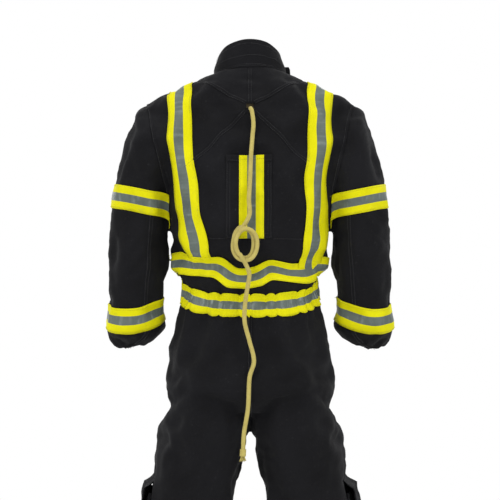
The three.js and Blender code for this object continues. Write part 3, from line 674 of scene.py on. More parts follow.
# ------------------------------------------------------------------ materials
class Look:
    """A material as it is built. values goes straight on its shader's sockets."""

    def __init__(self, name, values):
        self.material = bpy.data.materials.new(name)
        self.material.use_nodes = True
        self.nodes, self.links = self.material.node_tree.nodes, self.material.node_tree.links
        self.shader = self.nodes["Principled BSDF"]
        self.relief = None
        for socket, value in values.items():
            self.feed(self.shader.inputs[socket], value)
        self.where = self.add("TexCoord", {}, "Object")

    def feed(self, socket, value):
        """Gives a socket a number, a colour, or another socket to follow."""
        if isinstance(value, bpy.types.NodeSocket):
            self.links.new(value, socket)
        else:
            socket.default_value = (*value, 1) if isinstance(value, tuple) else value

    def add(self, kind, values, output=0, **settings):
        """One output of a new node that has these settings, and these values on its sockets."""
        node = self.nodes.new("ShaderNode" + kind)
        for name, setting in settings.items():
            setattr(node, name, setting)
        for key, value in values.items():
            self.feed(node.inputs[key], value)
        return node.outputs[output]

    def mixed(self, factor, a, b):
        """Colour a where factor is 0 and b where it is 1."""
        return self.add("Mix", {0: factor, 6: a, 7: b}, 2, data_type="RGBA")

    def ramp(self, source, low, high):
        """source stretched so that low becomes 0 and high becomes 1."""
        return self.add("MapRange", {"Value": source, "From Min": low, "From Max": high}, "Result")

    def maths(self, operation, *values):
        return self.add("Math", dict(enumerate(values)), operation=operation)

    def times(self, a, b):
        return self.maths("MULTIPLY", a, b)

    def noise(self, scale, detail, vector=None):
        values = {"Vector": self.where if vector is None else vector, "Scale": scale, "Detail": detail}
        return self.add("TexNoise", values, "Fac")

    def split(self, vector):
        node = self.nodes.new("ShaderNodeSeparateXYZ")
        self.links.new(vector, node.inputs[0])
        return node.outputs

    def weave(self, pitch):
        """Two crossed sets of threads, 0 between them and 1 on top."""
        x, y, z = self.split(self.where)
        turns = 2 * math.pi / (pitch * MM)
        warp = self.maths("SINE", self.times(self.maths("ADD", x, y), turns))
        weft = self.maths("SINE", self.times(z, turns))
        return self.maths("MULTIPLY_ADD", self.times(warp, weft), 0.5, 0.5)

    def bump(self, height, distance, strength):
        """Relief, laid over the relief there is."""
        values = {"Height": height, "Distance": distance * MM, "Strength": strength}
        if self.relief is not None:
            values["Normal"] = self.relief
        self.relief = self.add("Bump", values, "Normal")
        self.links.new(self.relief, self.shader.inputs["Normal"])

    def coat(self, colour, rough_where=None, smooth=0.0, rough=1.0):
        """Puts the colour on, and the roughness: smooth where rough_where is 0, and rough where it is 1."""
        self.links.new(colour, self.shader.inputs["Base Color"])
        if rough_where is not None:
            values = {"Value": rough_where, "To Min": smooth, "To Max": rough}
            self.links.new(self.add("MapRange", values, "Result"), self.shader.inputs["Roughness"])


def cloth_material(name, dark, light, pitch=1.1, sheen=0.25, relief=0.35):
    """Woven cloth: threads, soft mottling, pale lint and rubbed patches."""
    look = Look(name, {"Sheen Weight": sheen, "Sheen Roughness": 0.5, "Specular IOR Level": 0.1})
    cloud = look.ramp(look.noise(9, 5), 0.35, 0.68)
    speck = look.ramp(look.noise(900, 2), 0.45, 0.8)
    lint = look.ramp(look.noise(260, 4), 0.66, 0.78)
    lighter = tuple(min(1, 1.8 * c + 0.003) for c in light)
    dusty = tuple(min(1, 3.2 * c + 0.03) for c in light)
    base = look.mixed(cloud, dark, light)
    base = look.mixed(look.times(speck, 0.55), base, lighter)
    base = look.mixed(look.times(lint, 0.45), base, dusty)
    look.coat(base, cloud, 0.78, 0.94)
    look.bump(look.noise(55, 4), 1.2, 0.35)
    look.bump(look.weave(pitch), relief, 0.6)
    return look.material


def tape_material(name, creased=0.4):
    """Fluorescent yellow weave with a silver stripe of tiny glass beads down the middle.
    The UV map runs in millimetres along the tape, and from 0 to 1 across it. The last argument is how
    much painted highlight (glint) is laid on the silver where the tape has a crease across it."""
    look = Look(name, {"Specular IOR Level": 0.12})
    along = look.add("UVMap", {}, "UV", uv_map="along")
    _, across, _ = look.split(along)
    off_middle = look.maths("ABSOLUTE", look.maths("SUBTRACT", across, 0.5))
    yellow_part = look.ramp(off_middle, 0.170, 0.176)
    cloud = look.ramp(look.noise(22, 4), 0.35, 0.7)
    soil = look.ramp(look.noise(48, 6), 0.62, 0.82)
    creases = look.ramp(look.noise(0.085, 3, along), 0.46, 0.68)
    patches = look.ramp(look.noise(70, 3), 0.40, 0.64)
    # Painted highlight: the silver is painted lighter in noisy spots where the tape has a crease across it,
    # where light would glint.
    painted_glints = look.times(look.times(creases, patches), creased)
    yellow = look.mixed(cloud, (0.57, 0.54, 0.0), (0.66, 0.62, 0.002))
    silver = look.mixed(cloud, (0.080, 0.098, 0.088), (0.113, 0.136, 0.122))
    silver = look.mixed(painted_glints, silver, (0.27, 0.31, 0.29))
    colour = look.mixed(yellow_part, silver, yellow)
    colour = look.mixed(look.times(soil, 0.35), colour, (0.18, 0.18, 0.06))
    look.coat(colour, yellow_part, 0.38, 0.75)
    beads = look.add("TexVoronoi", {"Vector": look.where, "Scale": 900}, "Distance")
    fine = look.add("Mix", {0: yellow_part, 2: beads, 3: look.weave(0.9)})
    look.bump(yellow_part, 0.25, 0.6)
    look.bump(fine, 0.18, 0.5)
    return look.material


def metal_material(name, colour, roughness):
    look = Look(name, {"Metallic": 1.0})
    worn = look.ramp(look.noise(300, 5), 0.4, 0.7)
    dull = tuple(0.55 * c for c in colour)
    look.coat(look.mixed(worn, dull, colour), worn, roughness + 0.2, roughness)
    look.bump(worn, 0.05, 0.4)
    return look.material


def rope_material(name):
    """Braided cord. The relief is in the mesh, and this adds yarn lines, dirt and fuzz."""
    look = Look(name, {"Roughness": 0.8, "Sheen Weight": 0.1, "Specular IOR Level": 0.15})
    cloud = look.ramp(look.noise(60, 5), 0.3, 0.7)
    fibre = look.noise(1400, 2)
    base = look.mixed(cloud, (0.27, 0.215, 0.045), (0.40, 0.335, 0.08))
    look.coat(look.mixed(look.ramp(fibre, 0.3, 0.75), base, (0.50, 0.42, 0.14)))
    look.bump(fibre, 0.25, 0.6)
    return look.material


BLACK = cloth_material("black_aramid", (0.0036, 0.0035, 0.0042), (0.0078, 0.0078, 0.0092), sheen=0.02)
DARKER = cloth_material("black_facing", (0.006, 0.006, 0.007), (0.010, 0.010, 0.011), 0.8, 0.15)
LINING = cloth_material("tan_lining", (0.10, 0.08, 0.045), (0.14, 0.115, 0.07), 1.4)
KNIT = cloth_material("black_elastic", (0.012, 0.012, 0.013), (0.02, 0.02, 0.022), 2.2, 0.35, 0.6)
WEBBING = cloth_material("webbing", (0.22, 0.17, 0.05), (0.30, 0.24, 0.08), 2.0, 0.2, 0.6)
PILE = cloth_material("hook_pile", (0.006, 0.006, 0.006), (0.012, 0.012, 0.013), 0.6, 0.5, 0.8)
THREAD = cloth_material("thread", (0.022, 0.022, 0.024), (0.032, 0.032, 0.035), 0.5, 0.2, 0.1)
YELLOW_THREAD = cloth_material("yellow_thread", (0.42, 0.41, 0.01), (0.52, 0.50, 0.02), 0.5, 0.2, 0.1)
TAPE = tape_material("reflective_tape")
# The waist tape's silver gets the strongest painted highlight (glint).
GATHERED_TAPE = tape_material("gathered_tape", creased=1.0)
ROPE = rope_material("rope")
BRASS = metal_material("zip_brass", (0.45, 0.34, 0.14), 0.35)

FLOOR_RADIUS = 2600.0
FLOOR_UNDER = 4.0  # the hems
around = np.linspace(0, 2 * math.pi, 96, endpoint=False)
floor_ring = [(FLOOR_RADIUS * math.cos(a), FLOOR_RADIUS * math.sin(a), ANKLE_Z - FLOOR_UNDER) for a in around]
floor = object_of("floor", mesh_of("floor", floor_ring, [tuple(range(len(floor_ring)))]))
floor.data.materials.append(Look("pale_floor", {"Roughness": 0.9, "Base Color": (0.82, 0.82, 0.82)}).material)

# ------------------------------------------------------------------ making pieces
ROOT = "suit"


def piece(
    name, verts, faces, material, body=ROOT, slot="black_cloth", stands_for=(),
    uv=None, thick=0.0, hung=True, over=None,
):
    """A piece of the suit. verts are in millimetres on the smooth form, and hang moves them with the cloth.
    thick is the cloth's thickness, added inwards. over keeps it that far outside the hung cloth, or is
    a function that moves the hung points."""
    verts = hang(verts) if hung else np.asarray(verts, float)
    if over:
        verts = over(verts) if callable(over) else kept_over(verts, over)
    mesh = mesh_of(name, verts, faces)
    obj = object_of(name, mesh)
    obj.data.materials.append(material)
    if uv is not None:
        layer = mesh.uv_layers.new(name="along")
        corner = np.array([uv[v] for face in faces for v in face], float)
        layer.data.foreach_set("uv", corner.ravel())
    if thick:
        solid = obj.modifiers.new("thickness", "SOLIDIFY")
        solid.thickness = thick * MM
        solid.offset = -1
        obj.data = modified_mesh(obj)
    obj.data.polygons.foreach_set("use_smooth", [True] * len(obj.data.polygons))
    settle(obj, body)
    if stands_for:
        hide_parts(*stands_for)
    return obj


SLEEVE_BODIES = {"sleeve_left_body": 1, "sleeve_right_body": -1}


def settle(obj, body):
    """Makes a piece move with its body. Pieces on the sleeves and the storm flap are not attached to a body:
    their place is only baked into their vertices.
    """
    if body == "storm_flap_body":
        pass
    elif body in SLEEVE_BODIES:
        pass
    else:
        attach(obj, body)
        return
    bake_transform(obj)


# ------------------------------------------------------------------ the outer shell
SKIN_VOXEL = 6.5
ZIP_GAP_HALF = 14.0
SIDE_LEAN = 0.045  # of the line that parts the sleeve from the trunk's side
PORT_HALF = (7.5, 4.5)
CLOTH_THICK = 1.6


def armhole_distance(x, z):
    return (abs(x) - ARM_CENTRE[0]) * ARM_OUT[0] + (z - ARM_CENTRE[1]) * ARM_OUT[1]


def on_sleeve(c):
    clear_of_side = abs(c.x) > ARMPIT[0] + SIDE_LEAN * (ARMPIT[1] - c.z)
    return c.z > CUFF_Z - 50 and armhole_distance(c.x, c.z) > 0 and clear_of_side


def panel_of(c):
    """The CAD node that the cloth at this place stands for, or None in an opening."""
    side = "left" if c.x > 0 else "right"
    if on_sleeve(c):
        return "sleeve_" + side
    front = c.y < 0
    if front and abs(c.x) < ZIP_GAP_HALF and c.z > ZIP_BOTTOM_Z - BELOW_ZIP:
        return None
    if c.z < WAIST_Z:
        return ("trouser_front_" if front else "trouser_back_") + side
    if front:
        return "front_panel_" + side
    if abs(c.x) < PORT_HALF[0] and abs(c.z - PORT_Z) < PORT_HALF[1]:
        return None
    if c.z > PORT_Z + SEAM_RISE * abs(c.x):
        return "back_yoke"
    if c.z < PORT_Z - SEAM_FALL * abs(c.x):
        return "lower_back_panel"
    return "shoulder_panel_" + side


BELOW_ZIP = 6.0  # how far the front opening runs on under the zip
CUT_PAST = 8.0  # how far a cut runs on past its seam's end, further than a face is wide
ARMPIT_PAST = 10.0
ARM_ROOT_X = 140.0  # well inside the armhole, and outside the neck
UNDER_ARM = 105.0  # how far down the sleeve and the trunk's side are one surface
PORT_NEAR = 25.0


def beyond_arm_root(side):
    return lambda c: side * c.x > ARM_ROOT_X and c.z > ARMPIT[1] - ARMPIT_PAST


def cut_along_seams(bm):
    """Splits the skin's faces along the seams and openings, so that each lies in one panel."""

    def on_back(side):
        return lambda c: min(side * c.x, c.y) > -CUT_PAST and c.z > WAIST_Z and not on_sleeve(c)

    def near_port(c):
        return abs(c.x) < PORT_NEAR and c.y > 0 and abs(c.z - PORT_Z) < PORT_NEAR

    def under_arm(side):
        return lambda c: side * c.x > ARM_ROOT_X and -UNDER_ARM < c.z - ARMPIT[1] < ARMPIT_PAST

    def beside_zip(c):
        return c.y < 0 and c.z > ZIP_BOTTOM_Z - FLAT_UNDER_ZIP

    port = (0, 0, PORT_Z)
    for side in (1, -1):
        cut(bm, *armhole_plane(side), beyond_arm_root(side))
        cut(bm, (side * ARMPIT[0], 0, ARMPIT[1]), (side, 0, SIDE_LEAN), under_arm(side))
        cut(bm, port, (-side * SEAM_RISE, 0, 1), on_back(side))
        cut(bm, port, (side * SEAM_FALL, 0, 1), on_back(side))
        cut(bm, (side * ZIP_GAP_HALF, 0, 0), (1, 0, 0), beside_zip)
        cut(bm, (side * PORT_HALF[0], 0, 0), (1, 0, 0), near_port)
        cut(bm, (0, 0, PORT_Z + side * PORT_HALF[1]), (0, 0, 1), near_port)
    cut(bm, (0, 0, WAIST_Z), (0, 0, 1), lambda c: abs(c.x) < ARM_X)
    cut(bm, (0, 0, 0), (0, 1, 0), lambda c: not on_sleeve(c))
    cut(bm, (0, 0, 0), (1, 0, 0), lambda c: c.z < WAIST_Z or c.y < 0)
    cut(bm, (0, 0, ZIP_BOTTOM_Z - BELOW_ZIP), (0, 0, 1), lambda c: c.y < 0 and abs(c.x) < 20)


def faces_by_name(bm, name_of):
    """Faces as lists of vertex numbers, sorted by the name that name_of gives to their middle."""
    bm.verts.index_update()
    found = {}
    for face in bm.faces:
        name = name_of(middle_of(face))
        if name:
            found.setdefault(name, []).append([v.index for v in face.verts])
    return sorted(found.items())


def only_used(faces):
    """The numbers of the vertices that faces use, and the faces renumbered to have only those."""
    used = sorted({v for f in faces for v in f})
    renumber = {v: i for i, v in enumerate(used)}
    return used, [tuple(renumber[v] for v in f) for f in faces]


skin = skin_object("skin", SKIN_VOXEL, 7)
skin_tree = tree_of_meshes([skin.data])
skin_mesh = bmesh.new()
skin_mesh.from_mesh(skin.data)
bpy.data.objects.remove(skin)
cut_along_seams(skin_mesh)
panels = faces_by_name(skin_mesh, panel_of)
skin_verts = np.array([v.co for v in skin_mesh.verts]) / MM
skin_normals = np.array([v.normal for v in skin_mesh.verts])
skin_mesh.free()


PULLED_IN = 1.3


def seam_depth(verts):
    """How far the cloth is pulled in along its sewn seams."""
    x, y, z = verts.T
    ax = np.abs(x)
    rise = np.abs(z - PORT_Z - SEAM_RISE * ax) / math.hypot(1, SEAM_RISE)
    fall = np.abs(z - PORT_Z + SEAM_FALL * ax) / math.hypot(1, SEAM_FALL)
    arm = np.where((ax > 150) & (z > ARMPIT[1] - 5), np.abs(armhole_distance(x, z)), FAR)
    back = np.where((y > 0) & (z > WAIST_Z), np.minimum(rise, fall), FAR)
    centre = np.where((y > 0) & ((z < WAIST_Z) | (z > PORT_Z)) & (z > CROTCH_Z), ax, FAR)
    side = np.where((z < WAIST_Z) & (ax > 60), np.abs(y), FAR)
    nearest = np.minimum.reduce([arm, back, centre, side])
    pucker = 1 + 0.5 * np.sin(z / 5.5) * np.sin(x / 6.1)
    return -PULLED_IN * bell(nearest, 3.5) * pucker


SPARE = 1.03  # cloth in a panel's hems and seams, over what shows


def declare_panel(obj):
    """A cut panel of the suit: works out its length, as tall as the panel with its hems and seams, and does
    nothing more with it.
    """
    length = float(np.ptp(read_verts(obj.data)[:, 2])) * MM * SPARE


def cloth_panel(name, faces):
    used, faces = only_used(faces)
    verts = skin_verts[used]
    verts = verts + skin_normals[used] * seam_depth(verts)[:, None]
    body = name + "_body" if name.startswith("sleeve") else ROOT
    panel = piece("cloth_" + name, verts, faces, BLACK, body, stands_for=[name], thick=CLOTH_THICK)
    declare_panel(panel)
    return panel


hung_tree = tree_of_meshes([cloth_panel(name, faces).data for name, faces in panels])
FEEL = 9.0  # how far out the hung cloth is looked for


def kept_over(points, least):
    """Points at least this far outside the hung cloth under them."""
    points = np.array(points, float)
    for i, p in enumerate(points):
        _, normal, _, _ = skin_tree.find_nearest(Vector(p))
        place, faced, _, _ = hung_tree.ray_cast(Vector(p) + normal * FEEL, -normal, 2 * FEEL)
        if place is None or faced.dot(normal) < 0.3:
            continue
        gap = (Vector(p) - place).dot(normal)
        if gap < least:
            points[i] += np.array(normal) * (least - gap)
    return points


# ------------------------------------------------------------------ strips laid on the cloth
def hit(origin, direction, reach_limit=400.0):
    """Where a ray from inside the suit meets the cloth, and the outward normal there."""
    direction = Vector(direction).normalized()
    place, normal, _, _ = skin_tree.ray_cast(Vector(origin), direction, reach_limit)
    if place is None:
        place, normal, _, _ = skin_tree.find_nearest(Vector(origin) + direction * reach_limit * 0.8)
    if normal.dot(direction) < 0:
        normal = -normal
    return place, normal


def ray(x, z, way=1):
    """A ray from the middle of the suit's depth, straight back, or forward where way is -1."""
    return (x, 0, z), (0, way, 0), 300


def laid(rays, lift):
    """A grid of points lifted off the cloth. rays is rows of (origin, direction, furthest).
    lift is a length, or a function of the row's and the column's share."""
    rows = []
    for r, ray_row in enumerate(rays):
        row = []
        for c, (origin, direction, limit) in enumerate(ray_row):
            place, normal = hit(origin, direction, limit)
            height = lift(r / (len(rays) - 1), c / (len(ray_row) - 1)) if callable(lift) else lift
            row.append(np.array(place + normal * height))
        rows.append(row)
    return np.array(rows)


def grid_faces(rows, columns, closed=False):
    faces = []
    for r in range(rows if closed else rows - 1):
        for c in range(columns - 1):
            a, b = r * columns + c, ((r + 1) % rows) * columns + c
            faces.append((a, b, b + 1, a + 1))
    return faces


def outward(verts, faces):
    """Over 0 if the faces mostly look away from the cloth under them."""
    total = 0
    for f in faces[:: max(1, len(faces) // 40)]:
        a, b, c = (verts[i] for i in f[:3])
        middle = Vector(verts[list(f)].mean(0))
        place, normal, _, _ = skin_tree.find_nearest(middle)
        away = normal if normal.dot(Vector((middle.x, middle.y, 0))) > 0 else -normal
        total += np.sign(np.dot(np.cross(b - a, c - a), np.array(away)))
    return total


def evened_along(table, rounds, closed=False):
    """A table smoothed from row to row."""
    for _ in range(rounds):
        if closed:
            table = (np.roll(table, 1, 0) + 2 * table + np.roll(table, -1, 0)) / 4
        else:
            table[1:-1] = (table[:-2] + 2 * table[1:-1] + table[2:]) / 4
    return table


def strip_piece(name, rows, material, closed=False, calm=0, **more):
    """A strip from its grid of points, with a map of distance along and share across.
    calm is how many times the hung strip is evened out along its length."""
    rows = np.array(rows)
    columns = rows.shape[1]
    verts = rows.reshape(-1, 3)
    faces = grid_faces(len(rows), columns, closed)
    if outward(verts, faces) < 0:
        faces = [f[::-1] for f in faces]
    uv = [(at, c / (columns - 1)) for at in lengths_along(rows[:, 0]) for c in range(columns)]
    if calm:
        verts = evened_along(hang(verts).reshape(rows.shape), calm, closed).reshape(-1, 3)
        more["hung"] = False
    return piece(name, verts, faces, material, uv=uv, **more)


TAPE_LIFT = 2.7
TAPE_THICK = 0.8
TAPE_OVER = 2.4  # least height of a tape's face over the hung cloth
ACROSS = 9
tape_look = dict(material=TAPE, slot="reflective_tape", thick=TAPE_THICK)


def cad_verts(name):
    return read_verts(NODES[name].data)


SCAN = 0.5  # how finely a strip's edges are looked for


def edges_at(tree, low, high, ray_at):
    """The first and last value at which ray_at(value), an origin and a direction, meets a strip."""
    found = [v for v in np.arange(low, high, SCAN) if reach(tree, *ray_at(v), (0, 0, 0)) is not None]
    return (found[0], found[-1]) if found else None


BRACE_STEP = 6.0
BRACE_WHOLE = 0.94  # share of its usual width, under which the chest band has cut it off
BRACE_UNDER = 20.0  # how far its ends run under the chest band
BRACE_TURN = -58.0  # where the brace leaves the back and goes over the shoulder


def side_of(z, side):
    """How far out from the middle a strip can lie on the back or the front at this height."""
    place, _ = hit((0, 0, z), (side, 0, 0))
    return side * place.x - 7


def brace(name, side):
    """From the chest band up the back, over the shoulder and down the front."""
    tree = tree_of(name)
    low_corner, high_corner = box_of(name)
    near_x, far_x = sorted((side * low_corner[0], side * high_corner[0]))
    low = low_corner[2] + BRACE_STEP

    def lines(way):
        """Heights and the x of both edges, run on straight past where the chest band cuts the brace off."""
        found = []
        for z in np.arange(BRACE_TURN, low, -BRACE_STEP):
            edges = edges_at(tree, near_x - 2, far_x + 2, lambda x: ((side * x, 0, z), (0, way, 0)))
            if edges:
                found.append((z, *edges))
        found = np.array(found)
        width = found[:, 2] - found[:, 1]
        cut_off = (width < BRACE_WHOLE * np.median(width)) & (found[:, 0] < (BRACE_TURN + low) / 2)
        found = found[~cut_off]
        slope = (found[-1] - found[-6]) / (found[-1] - found[-6])[0]
        more = [found[-1] - slope * BRACE_STEP * k for k in range(1, 9)]
        table = np.vstack([found, [row for row in more if row[0] > low - BRACE_UNDER]])
        table[:, 2] = [min(b, side_of(z, side)) for z, _, b in table]
        return evened_along(table, 3)

    back = lines(1)
    rays = [[ray(side * x, z) for x in np.linspace(a, b, ACROSS)] for z, a, b in back[::-1]]
    over = np.linspace(back[0, 1], back[0, 2], ACROSS)
    for a in np.linspace(0, math.pi, 34)[1:]:
        direction = (0, math.cos(a), math.sin(a))
        rays.append([((side * x, 0, BRACE_TURN), direction, 300) for x in over])
    rays += [[ray(side * x, z, -1) for x in np.linspace(a, b, ACROSS)] for z, a, b in lines(-1)[1:]]
    return laid(rays, TAPE_LIFT)


def turn_of(verts):
    """The angle round the suit, from the middle of the front by way of the wearer's left."""
    return (np.arctan2(verts[:, 1], verts[:, 0]) + math.pi / 2) % (2 * math.pi)


def facing(turn):
    return (math.sin(turn), -math.cos(turn), 0)


def belt(name, steps, lift, gathered=0.0):
    """Round the trunk from one edge of the storm flap to the other, by way of the back.
    gathered is how far its edges are drawn together in the furrows between pleats."""
    tree = tree_of(name)
    turns = turn_of(cad_verts(name))
    low, high = low_of(name)[2] - 2, high_of(name)[2] + 2
    rays = []
    for turn in np.linspace(turns.min() + 0.01, turns.max() - 0.01, steps):
        found = edges_at(tree, low, high, lambda z: ((0, 0, z), facing(turn)))
        if not found:
            continue
        place, _ = hit((0, 0, sum(found) / 2), facing(turn))
        flow = np.clip(abs(place.x) / 30 - 1, 0, 1) if place.y < 0 else 1
        rise = gathered and flow * (waist_line(place.x, 0) - waist_line(0, 0))
        drawn = gathered * flow * pleats(math.atan2(place.x, -place.y) * WAIST_ROUND)
        heights = np.linspace(found[0] - drawn, found[1] + drawn, ACROSS) + rise
        rays.append([((0, 0, z), facing(turn), 300) for z in heights])
    return laid(rays, lift)


def sleeve_at(z, column):
    """A value of the sleeve's sections, at the height of their middle."""
    rows = SLEEVE_ROWS[4:]  # past the part of the tube that is inside the trunk
    return np.interp(-z, -(rows[:, 1] + rows[:, 3]) / 2, rows[:, column])


def leg_centre(z):
    return np.interp(-z, -LEG_ROWS[:, 0], LEG_ROWS[:, 1])


def sleeve_band(name, side, steps=72, droop=0.0):
    """Round a sleeve, between two slanted planes. droop lowers it behind, where the elbow bends."""
    x, _, z = (cad_verts(name) * (side, 1, 1)).T
    off = z - np.polyval(np.polyfit(x, z, 1), x)
    high, low = (np.polyfit(x[pick], z[pick], 1) for pick in (off > off.max() - 3, off < off.min() + 3))
    middle_x = (x.min() + x.max()) / 2
    rays = []
    for a in np.linspace(0, 2 * math.pi, steps, endpoint=False):
        row = []
        for share in np.linspace(0, 1, ACROSS):
            line = low * (1 - share) + high * share
            middle_z = np.polyval(line, middle_x) - droop * max(0, math.sin(a)) ** 2
            depth = sleeve_at(middle_z, 5)
            direction = (side * math.cos(a), math.sin(a), line[0] * math.cos(a))
            row.append(((side * middle_x, depth, middle_z), direction, 120))
        rays.append(row)
    return laid(rays, TAPE_LIFT)


def leg_ring_rays(z, side, steps):
    """Rays all round a leg at one height."""
    turns = np.linspace(0, 2 * math.pi, steps, endpoint=False)
    return [((side * leg_centre(z), 0, z), (math.cos(a), math.sin(a), 0), 200) for a in turns]


def leg_band(name, side):
    heights = np.linspace(low_of(name)[2], high_of(name)[2], ACROSS)
    return laid(list(zip(*(leg_ring_rays(z, side, 80) for z in heights))), TAPE_LIFT)


taped = []  # the grid, body and whether closed, of each tape that is sewn on along its edges


def tape_strip(name, node, rows, body=ROOT, closed=False, **more):
    look = dict(tape_look, body=body, stands_for=[node], over=TAPE_OVER, calm=8)
    look.update(more)
    strip_piece(name, rows, closed=closed, **look)
    taped.append((rows, body, closed))


DROOP = 15.0
tape_strip("tape_chest", "chest_tape", belt("chest_tape", 240, TAPE_LIFT + 1.1), over=TAPE_OVER + 1.1)
waist_rows = belt("waist_tape", 360, TAPE_LIFT + 0.4, gathered=3.2)
tape_strip("tape_waist", "waist_tape", waist_rows, calm=0, material=GATHERED_TAPE)
for word, side in SIDES_OF_BODY.items():
    node = "brace_tape_" + word
    tape_strip("tape_brace_" + word, node, brace(node, side))
    node = "leg_tape_" + word
    tape_strip("tape_leg_" + word, node, leg_band(node, side), closed=True)
    for level in ("upper", "lower"):
        node = f"sleeve_tape_{level}_{word}"
        rows = sleeve_band(node, side, droop=DROOP if level == "lower" else 0)
        tape_strip(f"tape_sleeve_{level}_{word}", node, rows, f"sleeve_{word}_body", closed=True)

# ------------------------------------------------------------------ the rescue rope
ROPE_RADIUS = 4.4
ROPE_SIDES = 28
ROPE_STEP = 1.1
STRANDS = 8
BRAID_LENGTH = 26.0
# The route of the CAD model's rope: out of the port, down to the coil, and the tail below it.
ROPE_TOP = [(-1, 103.4, -49), (-4, 116.8, -57), (-7, 119.8, -82), (-5, 124.8, -110), (-2, 140.6, -150)]
ROPE_TOP += [(0, 144.6, -200), (2, 144.6, -238), (1, 143.6, -268)]
ROPE_TAIL = [(2, 144.4, -385), (4, 144.0, -410), (9, 144.0, -442), (11, 145.0, -484), (1, 147, -525)]
ROPE_TAIL += [(-8, 147.8, -565), (1, 147.8, -600), (4, 147.8, -660), (12, 146.8, -711), (14, 146.8, -746)]
COIL_LOW, COIL_HIGH = box_of("rope_coil")
COIL_CENTRE = (COIL_LOW + COIL_HIGH) / 2
COIL_HALF = (COIL_HIGH - COIL_LOW) / 2 - ROPE_RADIUS
COIL_BAND = 8.5  # how far in from the outermost turn the innermost lies
COIL_TURNS = 2.5
COIL_POINTS = 16  # for each turn


def coil_points():
    """Loose turns that cross over each other, from the top round to the bottom."""
    points = []
    count = int(COIL_TURNS * COIL_POINTS)
    for i in range(1, count):
        share = i / count
        angle = 2 * math.pi * COIL_TURNS * share - 0.3 * (1 - share)
        inner = COIL_BAND * (0.5 - 0.5 * math.cos(0.62 * angle + 0.5))
        wide = COIL_HALF[0] - inner + 0.9 * math.sin(2.3 * angle)
        tall = COIL_HALF[2] - inner * 0.9 + 1.2 * math.cos(1.7 * angle)
        depth = COIL_CENTRE[1] - 6.5 + 15.5 * share
        x = COIL_CENTRE[0] + wide * math.sin(angle)
        points.append((x, depth, COIL_CENTRE[2] + tall * math.cos(angle)))
    return points


ROPE_ROUTE = ROPE_TOP + coil_points() + ROPE_TAIL


def even_curve(points, step):
    """Points at even steps on a smooth curve through these."""
    dense = smooth_rows(points, 24)
    gone = lengths_along(dense)
    places = np.linspace(0, gone[-1], max(2, int(gone[-1] / step)))
    return np.stack([np.interp(places, gone, dense[:, k]) for k in range(3)], 1)


def tube_along(line, radius_at, sides):
    """Rings of a tube along a line, kept from twisting. radius_at takes the distance along and the angles."""
    tangents = unit_rows(np.gradient(line, axis=0))
    side = np.cross(tangents[0], (1.0, 0.2, 0.1))
    gone = lengths_along(line)
    angles = np.linspace(0, 2 * math.pi, sides, endpoint=False)
    rings = []
    for i, point in enumerate(line):
        side = side - tangents[i] * (side @ tangents[i])
        side /= np.linalg.norm(side)
        other = np.cross(tangents[i], side)
        r = radius_at(gone[i], angles)[:, None]
        rings.append(point + r * (np.cos(angles)[:, None] * side + np.sin(angles)[:, None] * other))
    return rings


def even_radius(radius):
    return lambda distance, angles: np.full(len(angles), radius)


def braid(distance, angles):
    """A round braid: strands that wind both ways, over and under each other."""
    turn = 2 * math.pi * distance / BRAID_LENGTH
    one = np.abs(np.sin(STRANDS / 2 * (angles + turn)))
    other = np.abs(np.sin(STRANDS / 2 * (angles - turn)))
    return ROPE_RADIUS * (0.87 + 0.15 * np.maximum(one, other))


rope_line = even_curve(ROPE_ROUTE, ROPE_STEP)
rope_nodes = ["rope_upper", "rope_coil", "rope_tail"]
tail_end, tail_way = rope_line[-1], rope_line[-1] - rope_line[-6]
tail_way /= np.linalg.norm(tail_way)
WHIP_TURN = 1.6


def whipping(distance, angles):
    """Thread wound tightly round the rope's end."""
    return 6.1 + 0.35 * np.abs(np.sin(math.pi * (distance / WHIP_TURN + angles / (2 * math.pi)))) ** 0.5


def rope_piece(name, mesh, slot, nodes):
    return piece(name, *mesh, ROPE, slot=slot, stands_for=nodes, hung=False)


rope = rope_piece("rescue_rope", tube_mesh(tube_along(rope_line, braid, ROPE_SIDES)), "rope", rope_nodes)
whip_length = height_of("rope_whipping")
whip_line = even_curve([tail_end + tail_way * at for at in (-2, whip_length / 2, whip_length)], 0.4)
whip_mesh = tube_mesh(tube_along(whip_line, whipping, 24))
whip = rope_piece("rope_whipping_thread", whip_mesh, "whipping_thread", ["rope_whipping"])


def frayed_end(start, way, length, count=46):
    """Loose yarns that spread from the whipping."""
    draw = np.random.default_rng(11)
    parts = []
    for _ in range(count):
        angle = draw.uniform(0, 2 * math.pi)
        out = np.sqrt(draw.uniform(0.02, 1)) * np.array((math.cos(angle), math.sin(angle), 0))
        bend = out * draw.uniform(1.5, 4.5) + draw.normal(size=3) * 0.8
        shares = np.linspace(-0.25, draw.uniform(0.75, 1.1), 7)
        line = [start + out * 4.2 + way * length * t + bend * max(t, 0) ** 1.6 for t in shares]
        parts.append(tube_mesh(tube_along(np.array(line), even_radius(0.55), 5)))
    return joined(parts)


tuft_mesh = frayed_end(tail_end + tail_way * whip_length, tail_way, height_of("rope_tuft"))
tuft = rope_piece("rope_frayed_yarns", tuft_mesh, "rope", ["rope_tuft"])

# ------------------------------------------------------------------ linings and what is inside
LINER_DEPTH = 9.5
LINER_THICK = 1.2
LINER_GAP_HALF = 22.0


def depth_in(point):
    """How far inside the cloth's outer surface a point is, and the way out."""
    place, normal, _, _ = skin_tree.find_nearest(Vector(point))
    return (place - Vector(point)).dot(normal), np.array(normal)


def tucked(verts, depth):
    """Points moved in where they are nearer to the cloth's outer surface than depth."""
    out = verts.copy()
    for i, p in enumerate(verts):
        inside, way_out = depth_in(p)
        if inside < depth:
            out[i] = p + way_out * (inside - depth)
    return out


